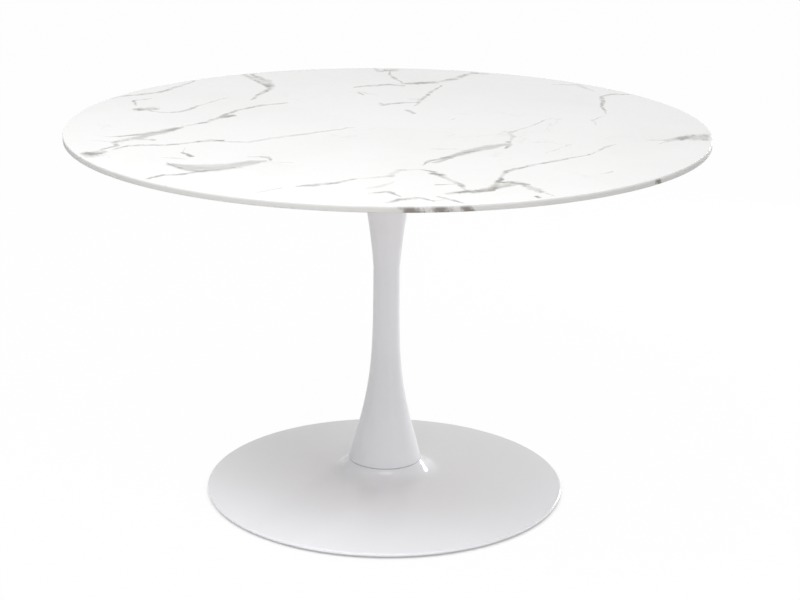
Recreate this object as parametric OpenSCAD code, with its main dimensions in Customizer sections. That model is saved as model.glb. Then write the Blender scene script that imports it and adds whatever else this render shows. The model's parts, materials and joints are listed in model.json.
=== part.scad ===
// Round pedestal table: a thin stone slab, a trumpet-shaped column and a spun dish base.
// Millimetres, +Z up. The origin is on the floor, on the column's axis.
// One tie rod down the column clamps it between its head disc and the hub in the base.

/* [Tabletop] */
// Height of the tabletop above the floor
table_h = 723; // [660:1:1050]
// Diameter of the stone slab
slab_d = 1200; // [900:10:1400]
// Thickness of the stone slab
slab_t = 12; // [8:1:30]
// Radius of the slab's upper edge
slab_top_round = 2; // [0.5:0.5:4]
// Radius of the slab's lower edge
slab_under_round = 1; // [0.5:0.5:3]
// Diameter of the backing board glued under the slab
board_d = 700; // [450:10:850]
// Thickness of the backing board
board_t = 15; // [13:1:30]
// Width of the chamfer round the board's lower edge
board_chamfer = 6; // [1:1:12]

/* [Top plate] */
// Diameter of the steel plate under the board
plate_d = 320; // [240:5:420]
// Thickness of the steel plate under the board
plate_t = 5; // [5:0.5:10]
// Number of screws that hold the plate to the board
plate_screws_n = 8; // [4:1:12]
// Thread diameter of the plate screws
plate_screw_d = 6; // [4:1:8]
// Distance from the plate's edge to the plate screws
plate_screw_inset = 20; // [12:1:30]
// Length of the threaded inserts in the board
insert_len = 11; // [8:0.5:12]
// Number of countersunk screws that hold the plate to the column
head_screws_n = 4; // [3:1:6]
// Thread diameter of the countersunk screws
head_screw_d = 8; // [5:1:8]
// Diameter of the circle that the countersunk screws lie on
head_screw_circle = 84; // [70:1:92]

/* [Column] */
// Outer diameter of the column's head
head_d = 125; // [116:1:180]
// Outer diameter of the column's foot
foot_d = 140; // [120:1:180]
// Outer diameter of the column's waist
waist_d = 50.8; // [36:0.2:80]
// Height of the waist above the floor
waist_z = 447; // [250:1:500]
// Sheet thickness of the column
column_wall = 2; // [1:0.1:3]
// How late the column flares towards its head
head_power = 1.35; // [1.2:0.05:3]
// How late the column flares towards its foot
foot_power = 4.5; // [3:0.1:6]
// How much the foot's flare straightens before it reaches the seam
foot_ease = 2.5; // [0:0.1:2.9]
// Thickness of the disc welded into the column's head
head_disc_t = 8; // [6:0.5:14]
// Thickness of the disc welded into the column's foot
foot_disc_t = 6; // [4:0.5:12]
// Thickness of the gasket under the column's foot
gasket_t = 1; // [0.5:0.1:3]
// How far the gasket stays back from the column's outer edge
gasket_inset = 1; // [0.5:0.1:3]

/* [Base] */
// Diameter of the dish over its rim
base_d = 695; // [560:5:900]
// Height of the dish's collar above the floor
collar_z = 62; // [58:1:90]
// How far the collar stands out past the column's foot
collar_step = 1.5; // [0.5:0.1:6]
// Radius of the bend between the collar's flat top and the cove
collar_bend = 3; // [3:0.1:6]
// Slope of the dish where it leaves the collar
cove_slope = 62; // [45:1:75]
// Radius of the cove between the collar and the cone
cove_radius = 50; // [30:1:60]
// Sheet thickness of the dish
dish_wall = 2; // [1:0.1:2.6]
// Outer radius of the rolled rim
rim_roll = 3.5; // [3:0.1:5]
// Width of the lip turned in under the rim
rim_lip = 8; // [3:0.5:15]
// Gap between the rim and the floor
rim_gap = 3.6; // [1:0.1:6]
// Thickness of the ballast plate
ballast_t = 6; // [4:0.5:8]
// Diameter of the access hole in the ballast plate
access_d = 80; // [50:1:84]
// Outer diameter of the hub's tube
hub_d = 100; // [96:1:120]
// Wall of the hub's tube
hub_wall = 4; // [2:0.5:6]
// Thickness of the disc on the hub's tube
hub_disc_t = 8; // [5:0.5:12]
// How far the hub's disc stands out past its tube
hub_disc_rim = 10; // [2:1:12]

/* [Tie rod] */
// Thread diameter of the tie rod
rod_d = 12; // [8:1:14]
// Length of rod that shows past each nut
rod_spare = 3; // [1:0.5:4]
// Thickness of the washer under each nut
rod_washer_t = 2.5; // [1:0.1:3]
// Thickness of the split lock washer in the base
lock_washer_t = 3; // [2:0.1:4]

/* [Levelling glides] */
// Diameter of a glide's pad
pad_d = 28; // [18:1:40]
// Thickness of a glide's pad
pad_t = 5; // [4:0.5:8]
// Thread diameter of a glide's stud
stud_d = 8; // [6:1:10]
// Height of the weld nut over each glide
glide_nut_t = 4; // [3:0.5:6]
// Length of stud that shows above its weld nut when it is screwed right in
stud_spare = 1; // [0.5:0.5:2]

/* [Clearances] */
// Gap all round a rod or screw that passes through a hole
hole_gap = 0.5; // [0.2:0.1:1]
// Gap all round a screw in its thread
thread_gap = 0.05; // [0.03:0.01:0.1]
// Gap between a welded disc and the inside of the column
weld_gap = 0.2; // [0.1:0.05:0.5]
// Free height kept under the dish
dish_gap = 1; // [0.5:0.1:3]

/* [Hidden] */
$fn = 96;

// Steps along the curves
column_steps = 56;
cove_steps = 12;
bend_steps = 6;

// The stack from the floor to the tabletop
ballast_z = pad_t;
ballast_top = ballast_z + ballast_t;
hub_top = collar_z - dish_wall;
hub_disc_z = hub_top - hub_disc_t;
column_z = collar_z + gasket_t;
slab_z = table_h - slab_t;
board_z = slab_z - board_t;
plate_z = board_z - plate_t;
column_h = plate_z - column_z;
head_disc_z = plate_z - head_disc_t;

// Tie rod and its hardware, from the thread diameter
rod_hole_r = rod_d/2 + hole_gap;
rod_nut_af = rod_d*1.5;
rod_nut_t = rod_d*0.9;
rod_washer_r = rod_d;
lock_washer_r = rod_d*0.85;
lock_washer_slit = rod_d*0.15;
nut_room_r = rod_washer_r + 3;
top_nut_z = plate_z + rod_washer_t;
rod_top = top_nut_z + rod_nut_t + rod_spare;
bottom_washer_z = hub_disc_z - rod_washer_t;
lock_washer_z = bottom_washer_z - lock_washer_t;
bottom_nut_z = lock_washer_z - rod_nut_t;
rod_bottom = bottom_nut_z - rod_spare;

// Screws, from their thread diameters
plate_screw_ring = plate_d/2 - plate_screw_inset;
plate_washer_t = plate_screw_d*0.25;
plate_washer_z = plate_z - plate_washer_t;
pan_head_r = plate_screw_d;
pan_head_t = plate_screw_d*0.6;
socket_af = plate_screw_d*2/3;
socket_depth = pan_head_t*0.6;
insert_flange_t = 1.5;
insert_r = plate_screw_d/2 + 2;
insert_flange_r = insert_r + 2;
insert_top = board_z + insert_len;
plate_screw_top = insert_top - 1;
csk_r = head_screw_d;
csk_t = head_screw_d/2;
csk_socket_depth = csk_t*0.6;
head_screw_z = head_disc_z + 1;

// Glides, from the stud and the pad
glide_count = 6;
glide_nut_af = stud_d*1.625;
stud_top = ballast_top + glide_nut_t + stud_spare;
stud_foot_r = stud_d/2 + 3;
stud_foot_t = 1.5;
stud_z = pad_t/3;
pad_chamfer = 1;

// Outline of the dish: three arcs about fixed centres and the common tangent of the last two
collar_r = foot_d/2 + collar_step;
bend_centre = [collar_r - collar_bend*cos(90 - cove_slope), collar_z - collar_bend];
cove_centre = bend_centre + (collar_bend + cove_radius)*[sin(cove_slope), cos(cove_slope)];
rim_centre = [base_d/2 - rim_roll, rim_gap + rim_roll];
centre_line = cove_centre - rim_centre;
cone_normal = atan2(centre_line[1], centre_line[0]) - acos((cove_radius + rim_roll)/norm(centre_line));
cone_slope = 90 - cone_normal;

// Radius of the ballast plate and of the circle of glides: as far out as the dish leaves room
ballast_r = dish_reach(ballast_top + dish_gap);
glide_r = dish_reach(stud_top + dish_gap) - glide_nut_af/2 - 1;

// Radius at which the underside of the dish's cone is z above the floor
function dish_reach(z) =
    rim_centre[0] + (rim_centre[1] + (rim_roll - dish_wall)/cos(cone_slope) - z)/tan(cone_slope);

// Points of an arc about centre c
function arc(c, r, from, to, steps) =
    [for (i = [0:steps]) c + r*[cos(from + (to - from)*i/steps), sin(from + (to - from)*i/steps)]];

// Points in the opposite order
function reversed(list) = [for (i = [len(list) - 1:-1:0]) list[i]];

// Outer radius of the column at height z: a straightened power curve below the waist, a power curve above
function foot_share(z) = (waist_z - z)/(waist_z - column_z);
function head_share(z) = (z - waist_z)/(plate_z - waist_z);
function column_r(z) = waist_d/2 + (z < waist_z
    ? (foot_d - waist_d)/2*pow(foot_share(z), foot_power)*(1 + foot_ease*(1 - foot_share(z)))
    : (head_d - waist_d)/2*pow(head_share(z), head_power));

// Change of the column's radius with height
probe = 0.01;
function column_slope(z) = (column_r(z + probe) - column_r(z - probe))/(2*probe);

// Inner radius of the column, for a wall of even thickness
function column_bore_r(z) = column_r(z) - column_wall*sqrt(1 + pow(column_slope(z), 2));

// Direction of glide n
function glide_angle(n) = 360*(n - 0.5)/glide_count;

// Copies its children n times round the axis, at radius r
module ring_of(n, r) {
    for (i = [0:n - 1])
        rotate(360*(i + 0.5)/n)
            translate([r, 0, 0])
                children();
}

// A round plate or ring with its lower face at z
module disc(r, t, z, bore = 0) {
    translate([0, 0, z])
        difference() {
            cylinder(r = r, h = t);
            if (bore > 0)
                translate([0, 0, -1])
                    cylinder(r = bore, h = t + 2);
        }
}

// A hexagonal prism, measured across its flats
module hexagon(af, t) {
    cylinder(d = af/cos(30), h = t, $fn = 6);
}

// A hexagonal nut with chamfered corners
module hex_nut(af, t, bore) {
    corner_r = af/2/cos(30);
    chamfer = (corner_r - af/2)*tan(30);
    difference() {
        intersection() {
            hexagon(af, t);
            rotate_extrude()
                polygon([
                    [0, 0], [af/2, 0], [corner_r, chamfer],
                    [corner_r, t - chamfer], [af/2, t], [0, t]
                ]);
        }
        translate([0, 0, -1])
            cylinder(r = bore, h = t + 2);
    }
}

module stone_top() {
    r = slab_d/2;
    color([0.96, 0.96, 0.95])
        translate([0, 0, slab_z])
            rotate_extrude()
                polygon(concat(
                    [[0, 0]],
                    arc([r - slab_under_round, slab_under_round], slab_under_round, -90, 0, bend_steps),
                    arc([r - slab_top_round, slab_t - slab_top_round], slab_top_round, 0, 90, bend_steps),
                    [[0, slab_t]]
                ));
}

module backer_board() {
    r = board_d/2;
    color([0.78, 0.64, 0.45])
        difference() {
            translate([0, 0, board_z])
                rotate_extrude()
                    polygon([
                        [nut_room_r, 0], [r - board_chamfer, 0], [r, board_chamfer],
                        [r, board_t], [nut_room_r, board_t]
                    ]);
            ring_of(plate_screws_n, plate_screw_ring) {
                translate([0, 0, board_z - 1])
                    cylinder(r = insert_flange_r + thread_gap, h = 1 + insert_flange_t);
                translate([0, 0, board_z])
                    cylinder(r = insert_r + thread_gap, h = insert_len);
            }
        }
}

module insert_nuts() {
    color([0.80, 0.65, 0.30])
        ring_of(plate_screws_n, plate_screw_ring)
            difference() {
                union() {
                    translate([0, 0, board_z])
                        cylinder(r = insert_flange_r, h = insert_flange_t);
                    translate([0, 0, board_z])
                        cylinder(r = insert_r, h = insert_len);
                }
                translate([0, 0, board_z - 1])
                    cylinder(r = plate_screw_d/2 + thread_gap, h = insert_len + 2);
            }
}

module top_plate() {
    color([0.25, 0.25, 0.26])
        difference() {
            disc(plate_d/2, plate_t, plate_z, nut_room_r);
            ring_of(plate_screws_n, plate_screw_ring)
                translate([0, 0, plate_z - 1])
                    cylinder(r = plate_screw_d/2 + hole_gap, h = plate_t + 2);
            ring_of(head_screws_n, head_screw_circle/2) {
                translate([0, 0, plate_z - 1])
                    cylinder(r = head_screw_d/2 + hole_gap, h = plate_t + 2);
                translate([0, 0, board_z - csk_t])
                    cylinder(r1 = head_screw_d/2 + hole_gap, r2 = csk_r + hole_gap, h = csk_t);
            }
        }
}

module plate_screws() {
    color([0.70, 0.71, 0.73])
        ring_of(plate_screws_n, plate_screw_ring)
            difference() {
                union() {
                    translate([0, 0, plate_washer_z - pan_head_t])
                        cylinder(r = pan_head_r, h = pan_head_t);
                    translate([0, 0, plate_washer_z - 1])
                        cylinder(d = plate_screw_d, h = plate_screw_top - plate_washer_z + 1);
                }
                translate([0, 0, plate_washer_z - pan_head_t - 1])
                    hexagon(socket_af, 1 + socket_depth);
            }
}

module plate_washers() {
    color([0.70, 0.71, 0.73])
        ring_of(plate_screws_n, plate_screw_ring)
            disc(plate_screw_d*1.1, plate_washer_t, plate_washer_z, plate_screw_d/2 + hole_gap/2);
}

module head_screws() {
    color([0.70, 0.71, 0.73])
        ring_of(head_screws_n, head_screw_circle/2)
            difference() {
                union() {
                    translate([0, 0, board_z - csk_t])
                        cylinder(r1 = head_screw_d/2, r2 = csk_r, h = csk_t);
                    translate([0, 0, head_screw_z])
                        cylinder(d = head_screw_d, h = board_z - csk_t - head_screw_z);
                }
                translate([0, 0, board_z - csk_socket_depth])
                    hexagon(head_screw_d/2, csk_socket_depth + 1);
            }
}

module column_shell() {
    heights = [for (i = [0:column_steps]) column_z + column_h*i/column_steps];
    outside = [for (z = heights) [column_r(z), z]];
    inside = [for (z = heights) [column_bore_r(z), z]];
    color([0.93, 0.93, 0.93])
        rotate_extrude()
            polygon(concat(outside, reversed(inside)));
}

// A welded disc whose edge follows the inside of the column, with its lower face at z
module column_disc(z, t) {
    rotate_extrude()
        polygon([
            [rod_hole_r, z], [column_bore_r(z) - weld_gap, z],
            [column_bore_r(z + t) - weld_gap, z + t], [rod_hole_r, z + t]
        ]);
}

module column_head_disc() {
    color([0.45, 0.46, 0.48])
        difference() {
            column_disc(head_disc_z, head_disc_t);
            ring_of(head_screws_n, head_screw_circle/2)
                translate([0, 0, head_disc_z - 1])
                    cylinder(r = head_screw_d/2 + thread_gap, h = head_disc_t + 2);
        }
}

module column_foot_disc() {
    color([0.45, 0.46, 0.48])
        column_disc(column_z, foot_disc_t);
}

module foot_gasket() {
    color([0.15, 0.15, 0.15])
        disc(foot_d/2 - gasket_inset, gasket_t, collar_z, rod_hole_r);
}

module tie_rod() {
    color([0.70, 0.71, 0.73])
        translate([0, 0, rod_bottom])
            cylinder(d = rod_d, h = rod_top - rod_bottom);
}

module top_washer() {
    color([0.70, 0.71, 0.73])
        disc(rod_washer_r, rod_washer_t, plate_z, rod_d/2 + hole_gap/2);
}

module top_nut() {
    color([0.70, 0.71, 0.73])
        translate([0, 0, top_nut_z])
            hex_nut(rod_nut_af, rod_nut_t, rod_d/2 + thread_gap);
}

module bottom_washer() {
    color([0.70, 0.71, 0.73])
        disc(rod_washer_r*1.5, rod_washer_t, bottom_washer_z, rod_d/2 + hole_gap/2);
}

module bottom_lock_washer() {
    color([0.45, 0.46, 0.48])
        difference() {
            disc(lock_washer_r, lock_washer_t, lock_washer_z, rod_d/2 + hole_gap/2);
            translate([0, -lock_washer_slit/2, lock_washer_z - 1])
                cube([lock_washer_r + 1, lock_washer_slit, lock_washer_t + 2]);
        }
}

module bottom_nut() {
    color([0.70, 0.71, 0.73])
        translate([0, 0, bottom_nut_z])
            hex_nut(rod_nut_af, rod_nut_t, rod_d/2 + thread_gap);
}

// The dish's section runs from the rod hole over the collar, down the cove and the cone, and round the rim
module base_shell() {
    outside = concat(
        [[rod_hole_r, collar_z]],
        arc(bend_centre, collar_bend, 90, 90 - cove_slope, bend_steps),
        arc(cove_centre, cove_radius, 270 - cove_slope, 180 + cone_normal, cove_steps),
        arc(rim_centre, rim_roll, cone_normal, -90, cove_steps),
        [[rim_centre[0] - rim_lip, rim_gap]]
    );
    inside = concat(
        [[rod_hole_r, hub_top]],
        arc(bend_centre, collar_bend - dish_wall, 90, 90 - cove_slope, bend_steps),
        arc(cove_centre, cove_radius + dish_wall, 270 - cove_slope, 180 + cone_normal, cove_steps),
        arc(rim_centre, rim_roll - dish_wall, cone_normal, -90, cove_steps),
        [[rim_centre[0] - rim_lip, rim_gap + dish_wall]]
    );
    color([0.93, 0.93, 0.93])
        rotate_extrude()
            polygon(concat(outside, reversed(inside)));
}

module hub_disc() {
    color([0.45, 0.46, 0.48])
        disc(hub_d/2 + hub_disc_rim, hub_disc_t, hub_disc_z, rod_hole_r);
}

module hub_tube() {
    color([0.45, 0.46, 0.48])
        disc(hub_d/2, hub_disc_z - ballast_top, ballast_top, hub_d/2 - hub_wall);
}

module ballast_plate() {
    color([0.25, 0.25, 0.26])
        difference() {
            disc(ballast_r, ballast_t, ballast_z, access_d/2);
            ring_of(glide_count, glide_r)
                translate([0, 0, ballast_z - 1])
                    cylinder(r = stud_d/2 + thread_gap, h = ballast_t + 2);
        }
}

module glide_nuts() {
    color([0.70, 0.71, 0.73])
        ring_of(glide_count, glide_r)
            translate([0, 0, ballast_top])
                hex_nut(glide_nut_af, glide_nut_t, stud_d/2 + thread_gap);
}

// The stud of glide n, with the flat foot that its pad is moulded round
module glide_stud(n) {
    color([0.70, 0.71, 0.73])
        rotate(glide_angle(n))
            translate([glide_r, 0, stud_z]) {
                cylinder(d = stud_d, h = stud_top - stud_z);
                cylinder(r = stud_foot_r, h = stud_foot_t);
            }
}

// The pad of glide n
module glide_pad(n) {
    r = pad_d/2;
    bore = stud_d/2 + thread_gap;
    pocket = stud_foot_r + thread_gap;
    pocket_top = stud_z + stud_foot_t;
    color([0.20, 0.20, 0.20])
        rotate(glide_angle(n))
            translate([glide_r, 0, 0])
                rotate_extrude()
                    polygon([
                        [0, 0], [r - pad_chamfer, 0], [r, pad_chamfer], [r, pad_t], [bore, pad_t],
                        [bore, pocket_top], [pocket, pocket_top], [pocket, stud_z], [0, stud_z]
                    ]);
}

stone_top();
backer_board();
insert_nuts();
top_plate();
plate_screws();
plate_washers();
head_screws();
column_shell();
column_head_disc();
column_foot_disc();
foot_gasket();
tie_rod();
top_washer();
top_nut();
bottom_washer();
bottom_lock_washer();
bottom_nut();
base_shell();
hub_disc();
hub_tube();
ballast_plate();
glide_nuts();
glide_stud(1);  // glide_stud_1
glide_stud(2);  // glide_stud_2
glide_stud(3);  // glide_stud_3
glide_stud(4);  // glide_stud_4
glide_stud(5);  // glide_stud_5
glide_stud(6);  // glide_stud_6
glide_pad(1);  // glide_pad_1
glide_pad(2);  // glide_pad_2
glide_pad(3);  // glide_pad_3
glide_pad(4);  // glide_pad_4
glide_pad(5);  // glide_pad_5
glide_pad(6);  // glide_pad_6
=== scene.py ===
import json
import math

import bmesh
import bpy
from bpy.props import FloatProperty, FloatVectorProperty, IntProperty, PointerProperty
from bpy.types import Operator, Panel, PropertyGroup
from mathutils import Matrix, Vector

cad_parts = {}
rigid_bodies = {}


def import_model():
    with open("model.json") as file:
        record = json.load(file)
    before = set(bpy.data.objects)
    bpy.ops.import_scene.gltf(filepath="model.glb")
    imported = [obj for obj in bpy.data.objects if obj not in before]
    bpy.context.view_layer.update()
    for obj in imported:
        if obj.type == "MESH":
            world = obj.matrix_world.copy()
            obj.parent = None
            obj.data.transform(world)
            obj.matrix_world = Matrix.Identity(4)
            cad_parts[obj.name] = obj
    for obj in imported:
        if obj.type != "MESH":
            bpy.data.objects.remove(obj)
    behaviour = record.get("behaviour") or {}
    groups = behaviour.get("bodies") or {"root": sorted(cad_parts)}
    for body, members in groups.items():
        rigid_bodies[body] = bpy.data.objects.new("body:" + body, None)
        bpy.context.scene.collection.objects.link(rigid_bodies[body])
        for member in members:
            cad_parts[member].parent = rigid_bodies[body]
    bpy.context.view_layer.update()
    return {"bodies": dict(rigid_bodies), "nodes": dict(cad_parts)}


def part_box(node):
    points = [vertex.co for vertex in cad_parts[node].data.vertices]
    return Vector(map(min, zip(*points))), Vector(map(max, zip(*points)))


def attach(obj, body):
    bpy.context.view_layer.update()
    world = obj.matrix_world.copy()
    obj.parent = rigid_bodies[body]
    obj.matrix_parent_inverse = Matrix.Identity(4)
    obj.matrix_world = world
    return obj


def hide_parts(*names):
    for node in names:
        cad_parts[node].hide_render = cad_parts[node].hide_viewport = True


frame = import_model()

bl_info = {
    "name": "Pedestal Table",
    "version": (1, 0, 0),
    "blender": (4, 5, 0),
    "location": "3D View > Sidebar > Table",
    "description": "Builds a round marble-topped pedestal table around its packed frame",
    "category": "Object",
}


# ---------------------------------------------------------------- sizes taken from the frame

def span(node):
    """A CAD node's radius over X, its lowest height and its highest."""
    low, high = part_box(node)
    return (high.x - low.x) / 2, low.z, high.z


SLAB_RADIUS, SLAB_LOW, SLAB_TOP = span("stone_top")
COLUMN_RADIUS, COLUMN_LOW, COLUMN_TOP = span("column_shell")
DISH_RADIUS, DISH_LOW, DISH_TOP = span("base_shell")
GASKET_RADIUS, GASKET_LOW, GASKET_TOP = span("foot_gasket")
ROD_RADIUS, ROD_LOW, ROD_TOP = span("tie_rod")
HUB_RADIUS, HUB_LOW, HUB_TOP = span("hub_tube")
GLIDES = tuple(name for name in frame["bodies"] if name != "table")

# Angle past which an edge stays crisp, and the distance under which a seam's points are one.
CREASE = math.radians(35)
SEAM = 0.000002
# Steps round the axis: the slab, the dish and small hardware.
SLAB_STEPS, DISH_STEPS, SMALL_STEPS = 240, 192, 48
# Room between the tie rod and what it passes through.
ROD_ROOM = 0.0005


# ---------------------------------------------------------------- settings a user would change

class TabletopSettings(PropertyGroup):
    diameter: FloatProperty(
        name="Slab Diameter", description="Diameter of the marble slab", default=2 * SLAB_RADIUS, min=0.6,
        unit="LENGTH",
    )
    upper_round: FloatProperty(
        name="Upper Edge Round", description="Radius of the slab's polished upper edge", default=0.002,
        min=0.0005, unit="LENGTH",
    )
    lower_round: FloatProperty(
        name="Lower Edge Round", description="Radius of the slab's lower edge", default=0.001, min=0.0005,
        unit="LENGTH",
    )
    stone: FloatVectorProperty(
        name="Stone", description="Ground colour of the marble", default=(0.80, 0.80, 0.795),
        subtype="COLOR", min=0, max=1,
    )
    vein: FloatVectorProperty(
        name="Vein", description="Colour of the sharp veins", default=(0.20, 0.19, 0.165), subtype="COLOR",
        min=0, max=1,
    )
    cloud: FloatVectorProperty(
        name="Cloud", description="Colour of the soft grey beside the veins", default=(0.46, 0.46, 0.44),
        subtype="COLOR", min=0, max=1,
    )
    wander: FloatProperty(
        name="Vein Wander", description="How far the veins wander from their drawn course", default=0.008,
        min=0, unit="LENGTH",
    )
    # The cut edge's grey is partly the stone's greyer body and partly painted shade: the edge and underside
    # are painted darker than the face, as the slab's side would be in shade.
    edge: FloatVectorProperty(
        name="Cut Edge", description="Colour of the slab's cut edge and underside",
        default=(0.61, 0.605, 0.59), subtype="COLOR", min=0, max=1,
    )
    rim: FloatVectorProperty(
        name="Edge Patch", description="Colour where a vein comes out on the edge",
        default=(0.16, 0.135, 0.115), subtype="COLOR", min=0, max=1,
    )
    rim_lean: FloatProperty(
        name="Edge Patch Lean", description="How far the veins lean to the right as they go down the edge",
        default=0.8,
    )


class ColumnSettings(PropertyGroup):
    foot: FloatProperty(
        name="Foot Diameter", description="Outer diameter at the foot", default=2 * COLUMN_RADIUS,
        unit="LENGTH",
    )
    waist: FloatProperty(
        name="Waist Diameter", description="Outer diameter at the waist", default=0.0508, unit="LENGTH"
    )
    head: FloatProperty(
        name="Head Diameter", description="Outer diameter under the top plate", default=0.125, unit="LENGTH"
    )
    waist_height: FloatProperty(
        name="Waist Height", description="Height of the waist above the floor", default=0.447, unit="LENGTH"
    )
    foot_power: FloatProperty(
        name="Foot Power", description="How late the column flares towards its foot", default=4.5
    )
    foot_ease: FloatProperty(
        name="Foot Ease", description="How much the foot's flare straightens near the seam", default=2.5
    )
    head_power: FloatProperty(
        name="Head Power", description="How late the column flares towards its head", default=1.35
    )
    wall: FloatProperty(
        name="Sheet", description="Thickness of the spun sheet", default=0.002, unit="LENGTH"
    )


class DishSettings(PropertyGroup):
    diameter: FloatProperty(
        name="Dish Diameter", description="Diameter over the rolled rim", default=2 * DISH_RADIUS,
        unit="LENGTH",
    )
    collar_step: FloatProperty(
        name="Collar Step", description="How far the collar stands out past the column's foot",
        default=0.0015, unit="LENGTH",
    )
    collar_bend: FloatProperty(
        name="Collar Bend", description="Radius of the bend between collar and cove", default=0.003,
        unit="LENGTH",
    )
    cove_slope: FloatProperty(
        name="Cove Slope", description="Slope of the dish where it leaves the collar",
        default=math.radians(62), subtype="ANGLE",
    )
    cove_radius: FloatProperty(
        name="Cove Radius", description="Radius of the cove round the collar", default=0.050, unit="LENGTH"
    )
    rim_roll: FloatProperty(
        name="Rim Roll", description="Outer radius of the rolled rim", default=0.0035, unit="LENGTH"
    )
    rim_lip: FloatProperty(
        name="Rim Lip", description="Width of the lip turned in under the rim", default=0.008, unit="LENGTH"
    )
    wall: FloatProperty(
        name="Sheet", description="Thickness of the spun sheet", default=0.002, unit="LENGTH"
    )


class HardwareSettings(PropertyGroup):
    ease: FloatProperty(
        name="Eased Edges", description="Radius broken onto the edges of plates and discs", default=0.0004,
        min=0.0001, unit="LENGTH",
    )
    plate_screws: IntProperty(
        name="Plate Screws", description="Screws that hold the top plate to the board", default=8, min=3
    )
    plate_screw_circle: FloatProperty(
        name="Plate Screw Circle", description="Diameter of the circle of plate screws", default=0.280,
        unit="LENGTH",
    )
    head_screws: IntProperty(
        name="Head Screws", description="Countersunk screws that hold the plate to the column", default=4,
        min=3,
    )
    head_screw_circle: FloatProperty(
        name="Head Screw Circle", description="Diameter of the circle of countersunk screws", default=0.084,
        unit="LENGTH",
    )
    glide_ribs: IntProperty(
        name="Glide Ribs", description="Grip ribs round a glide's pad", default=24, min=8
    )
    glide_rib_depth: FloatProperty(
        name="Glide Rib Depth", description="Depth of the grip ribs", default=0.0004, unit="LENGTH"
    )


class PaintSettings(PropertyGroup):
    paint: FloatVectorProperty(
        name="White Paint", description="Colour of the column and the dish", default=(0.865, 0.870, 0.910),
        subtype="COLOR", min=0, max=1,
    )
    floor: FloatVectorProperty(
        name="Floor", description="Colour of the studio floor", default=(0.85, 0.85, 0.85), subtype="COLOR",
        min=0, max=1,
    )


class StageSettings(PropertyGroup):
    camera_place: FloatVectorProperty(
        name="Camera", description="Where the camera stands", default=(0.0, -3.5805, 1.484),
        subtype="TRANSLATION",
    )
    pitch: FloatProperty(
        name="Pitch", description="How far the camera looks down", default=math.radians(17.087),
        subtype="ANGLE",
    )
    yaw: FloatProperty(
        name="Yaw", description="How far the camera looks to the right", default=math.radians(0.417),
        subtype="ANGLE",
    )
    roll: FloatProperty(
        name="Roll", description="How far the camera leans", default=math.radians(-0.674), subtype="ANGLE"
    )
    lens: FloatProperty(
        name="Focal Length", description="Focal length in millimetres on a 36 mm sensor", default=87.85
    )
    ambient: FloatProperty(
        name="Ambient Light", description="Strength of the studio's even light", default=0.43, min=0
    )
    left_power: FloatProperty(
        name="Left Light", description="Power of the soft light high at the front left", default=44.0, min=0
    )
    front_power: FloatProperty(
        name="Front Light", description="Power of the soft light high in front", default=51.0, min=0
    )
    strip_power: FloatProperty(
        name="Strip Light", description="Power of the upright strip at the back right", default=25.0, min=0
    )
    low_power: FloatProperty(
        name="Low Light", description="Power of the low light at the front right", default=5.0, min=0
    )
    right_power: FloatProperty(
        name="Right Light", description="Power of the low light at the right", default=4.5, min=0
    )


class TableSettings(PropertyGroup):
    tabletop: PointerProperty(type=TabletopSettings)
    column: PointerProperty(type=ColumnSettings)
    dish: PointerProperty(type=DishSettings)
    hardware: PointerProperty(type=HardwareSettings)
    paint: PointerProperty(type=PaintSettings)
    stage: PointerProperty(type=StageSettings)


# ---------------------------------------------------------------- node helpers

def socket_named(sockets, where):
    """A node's socket, by its position or by its name among those in use."""
    if isinstance(where, int):
        return sockets[where]
    return next(s for s in sockets if s.name == where and s.enabled)


def wire(tree, kind, plugs=None, out=0, **choices):
    """Adds a node, sets its choices, fills or links its inputs, and returns one of its outputs."""
    node = tree.nodes.new(kind)
    for choice, value in choices.items():
        setattr(node, choice, value)
    for where, value in (plugs or {}).items():
        socket = socket_named(node.inputs, where)
        if isinstance(value, bpy.types.NodeSocket):
            tree.links.new(value, socket)
        else:
            socket.default_value = value
    return socket_named(node.outputs, out)


def calc(tree, operation, *values, clamp=False):
    """The result of a Math node."""
    return wire(tree, "ShaderNodeMath", dict(enumerate(values)), operation=operation, use_clamp=clamp)


def aim(tree, operation, *values):
    """The result of a Vector Math node: a number for a product or length, else a vector."""
    number = operation in {"DOT_PRODUCT", "LENGTH"}
    plugs = {0: values[0], "Scale": values[1]} if operation == "SCALE" else dict(enumerate(values))
    out = "Value" if number else "Vector"
    return wire(tree, "ShaderNodeVectorMath", plugs, out=out, operation=operation)


def ramp(tree, value, low, high, start=0.0, end=1.0):
    """A smooth step of value from low to high."""
    plugs = {"Value": value, "From Min": low, "From Max": high, "To Min": start, "To Max": end}
    return wire(tree, "ShaderNodeMapRange", plugs, interpolation_type="SMOOTHSTEP")


def blend(tree, factor, low, high):
    """A mix of two colours."""
    plugs = {"Factor": factor, "A": low, "B": high}
    return wire(tree, "ShaderNodeMix", plugs, out="Result", data_type="RGBA")


def grain(tree, point, scale, detail, roughness=0.5, distortion=0.0, out=0):
    """A noise pattern: out 0 is a number about a half, out 1 a colour."""
    plugs = {
        "Vector": point, "Scale": scale, "Detail": detail, "Roughness": roughness, "Distortion": distortion
    }
    return wire(tree, "ShaderNodeTexNoise", plugs, out=out)


def part_of(tree, point, axis):
    """One coordinate of a point."""
    return wire(tree, "ShaderNodeSeparateXYZ", {0: point}, out=axis)


def stretched(tree, point, scale):
    """The pattern coordinates, scaled along each axis."""
    return wire(tree, "ShaderNodeMapping", {"Vector": point, "Scale": scale})


def bumped(tree, surface, height, strength, distance):
    """Raises a surface by a height pattern."""
    bump = wire(tree, "ShaderNodeBump", {"Height": height, "Strength": strength, "Distance": distance})
    tree.links.new(bump, surface.inputs["Normal"])


def rgba(colour):
    """A colour with its fourth channel."""
    return (*colour, 1.0)


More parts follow.
